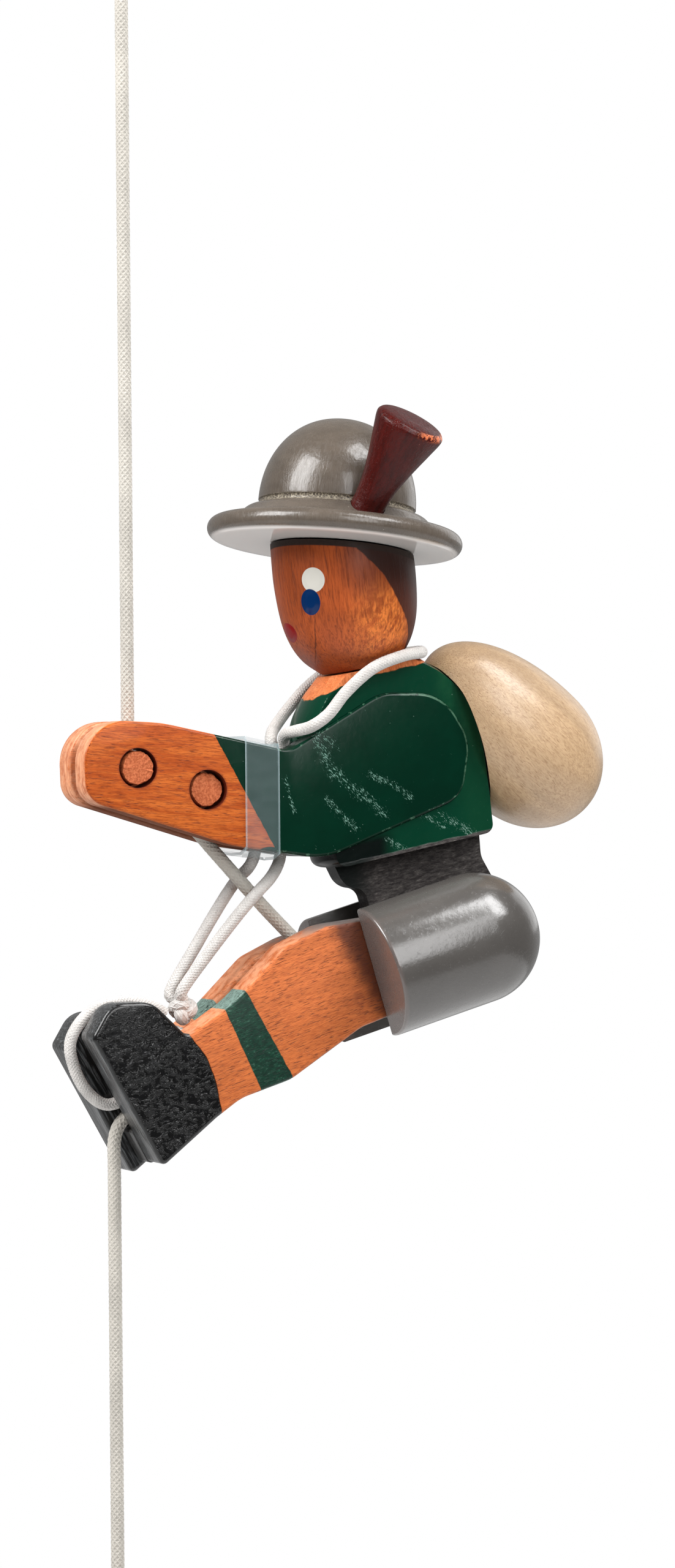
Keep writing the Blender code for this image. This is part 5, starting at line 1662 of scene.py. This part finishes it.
class ToyStudio(bpy.types.PropertyGroup):
    """The camera's distance and the light."""

    camera_distance: number_property(
        "Camera Distance", "From the camera to the toy", 0.8, "LENGTH"
    )
    key: number_property("Key Power", "Power of the main soft light", 9.5, "POWER")
    ambient: number_property("Ambient", "Strength of the light from all round", 0.09)
    backdrop: number_property("Backdrop", "Strength of the light behind the toy", 0.35)
    floor_glow: number_property("Floor Glow", "Light that the floor gives back", 0.75)
    exposure: number_property("Exposure", "Exposure of the picture, in stops", 0.0)


class ToyOperator:
    """What every operator here shares."""

    bl_options = {"REGISTER", "UNDO"}
    build = None

    def execute(self, context):
        type(self).build(context)
        return {"FINISHED"}


class TOY_OT_stage(ToyOperator, bpy.types.Operator):
    """Camera, floor and soft light"""

    bl_idname = "toy.stage"
    bl_label = "Stage"
    build = staticmethod(make_stage)


class TOY_OT_string(ToyOperator, bpy.types.Operator):
    """The string, from its hanging loop to its bead"""

    bl_idname = "toy.string"
    bl_label = "String"
    build = staticmethod(make_string)


class TOY_OT_elastic(ToyOperator, bpy.types.Operator):
    """The elastic, round the neck and the toes"""

    bl_idname = "toy.elastic"
    bl_label = "Elastic"
    build = staticmethod(make_elastic)


class TOY_OT_hat(ToyOperator, bpy.types.Operator):
    """The turned hat and its plume"""

    bl_idname = "toy.hat"
    bl_label = "Hat and Plume"
    build = staticmethod(make_hat)


class TOY_OT_head(ToyOperator, bpy.types.Operator):
    """The turned head"""

    bl_idname = "toy.head"
    bl_label = "Head"
    build = staticmethod(make_head)


class TOY_OT_torso(ToyOperator, bpy.types.Operator):
    """The turned torso with its flats, seats and tongue"""

    bl_idname = "toy.torso"
    bl_label = "Torso"
    build = staticmethod(make_torso)


class TOY_OT_arms(ToyOperator, bpy.types.Operator):
    """Both arms, the pegs across the hands and the clear strap"""

    bl_idname = "toy.arms"
    bl_label = "Arms"
    build = staticmethod(make_arms)


class TOY_OT_backpack(ToyOperator, bpy.types.Operator):
    """The egg on the back"""

    bl_idname = "toy.backpack"
    bl_label = "Backpack"
    build = staticmethod(make_backpack)


class TOY_OT_legs(ToyOperator, bpy.types.Operator):
    """Both legs with their shoes, and what joins them"""

    bl_idname = "toy.legs"
    bl_label = "Legs"
    build = staticmethod(make_legs)


class TOY_OT_trousers(ToyOperator, bpy.types.Operator):
    """The halves of the trousers"""

    bl_idname = "toy.trousers"
    bl_label = "Trousers"
    build = staticmethod(make_trousers)


OPERATORS = (
    TOY_OT_stage,
    TOY_OT_string,
    TOY_OT_elastic,
    TOY_OT_hat,
    TOY_OT_head,
    TOY_OT_torso,
    TOY_OT_arms,
    TOY_OT_backpack,
    TOY_OT_legs,
    TOY_OT_trousers,
)


class TOY_PT_panel(bpy.types.Panel):
    """Lists the toy's pieces"""

    bl_label = "Toy"
    bl_idname = "TOY_PT_panel"
    bl_space_type = "VIEW_3D"
    bl_region_type = "UI"
    bl_category = "Toy"

    def draw(self, context):
        for operator in OPERATORS:
            self.layout.operator(operator.bl_idname)


CLASSES = (ToyColours, ToySizes, ToyStudio, *OPERATORS, TOY_PT_panel)


def register():
    for cls in CLASSES:
        bpy.utils.register_class(cls)
    bpy.types.Scene.toy_colours = bpy.props.PointerProperty(type=ToyColours)
    bpy.types.Scene.toy_sizes = bpy.props.PointerProperty(type=ToySizes)
    bpy.types.Scene.toy_studio = bpy.props.PointerProperty(type=ToyStudio)


def unregister():
    del bpy.types.Scene.toy_colours
    del bpy.types.Scene.toy_sizes
    del bpy.types.Scene.toy_studio
    for cls in reversed(CLASSES):
        bpy.utils.unregister_class(cls)


def main():
    register()
    for operator in OPERATORS:
        name = operator.bl_idname.split(".")[1]
        getattr(bpy.ops.toy, name)()


if __name__ == "__main__":
    main()
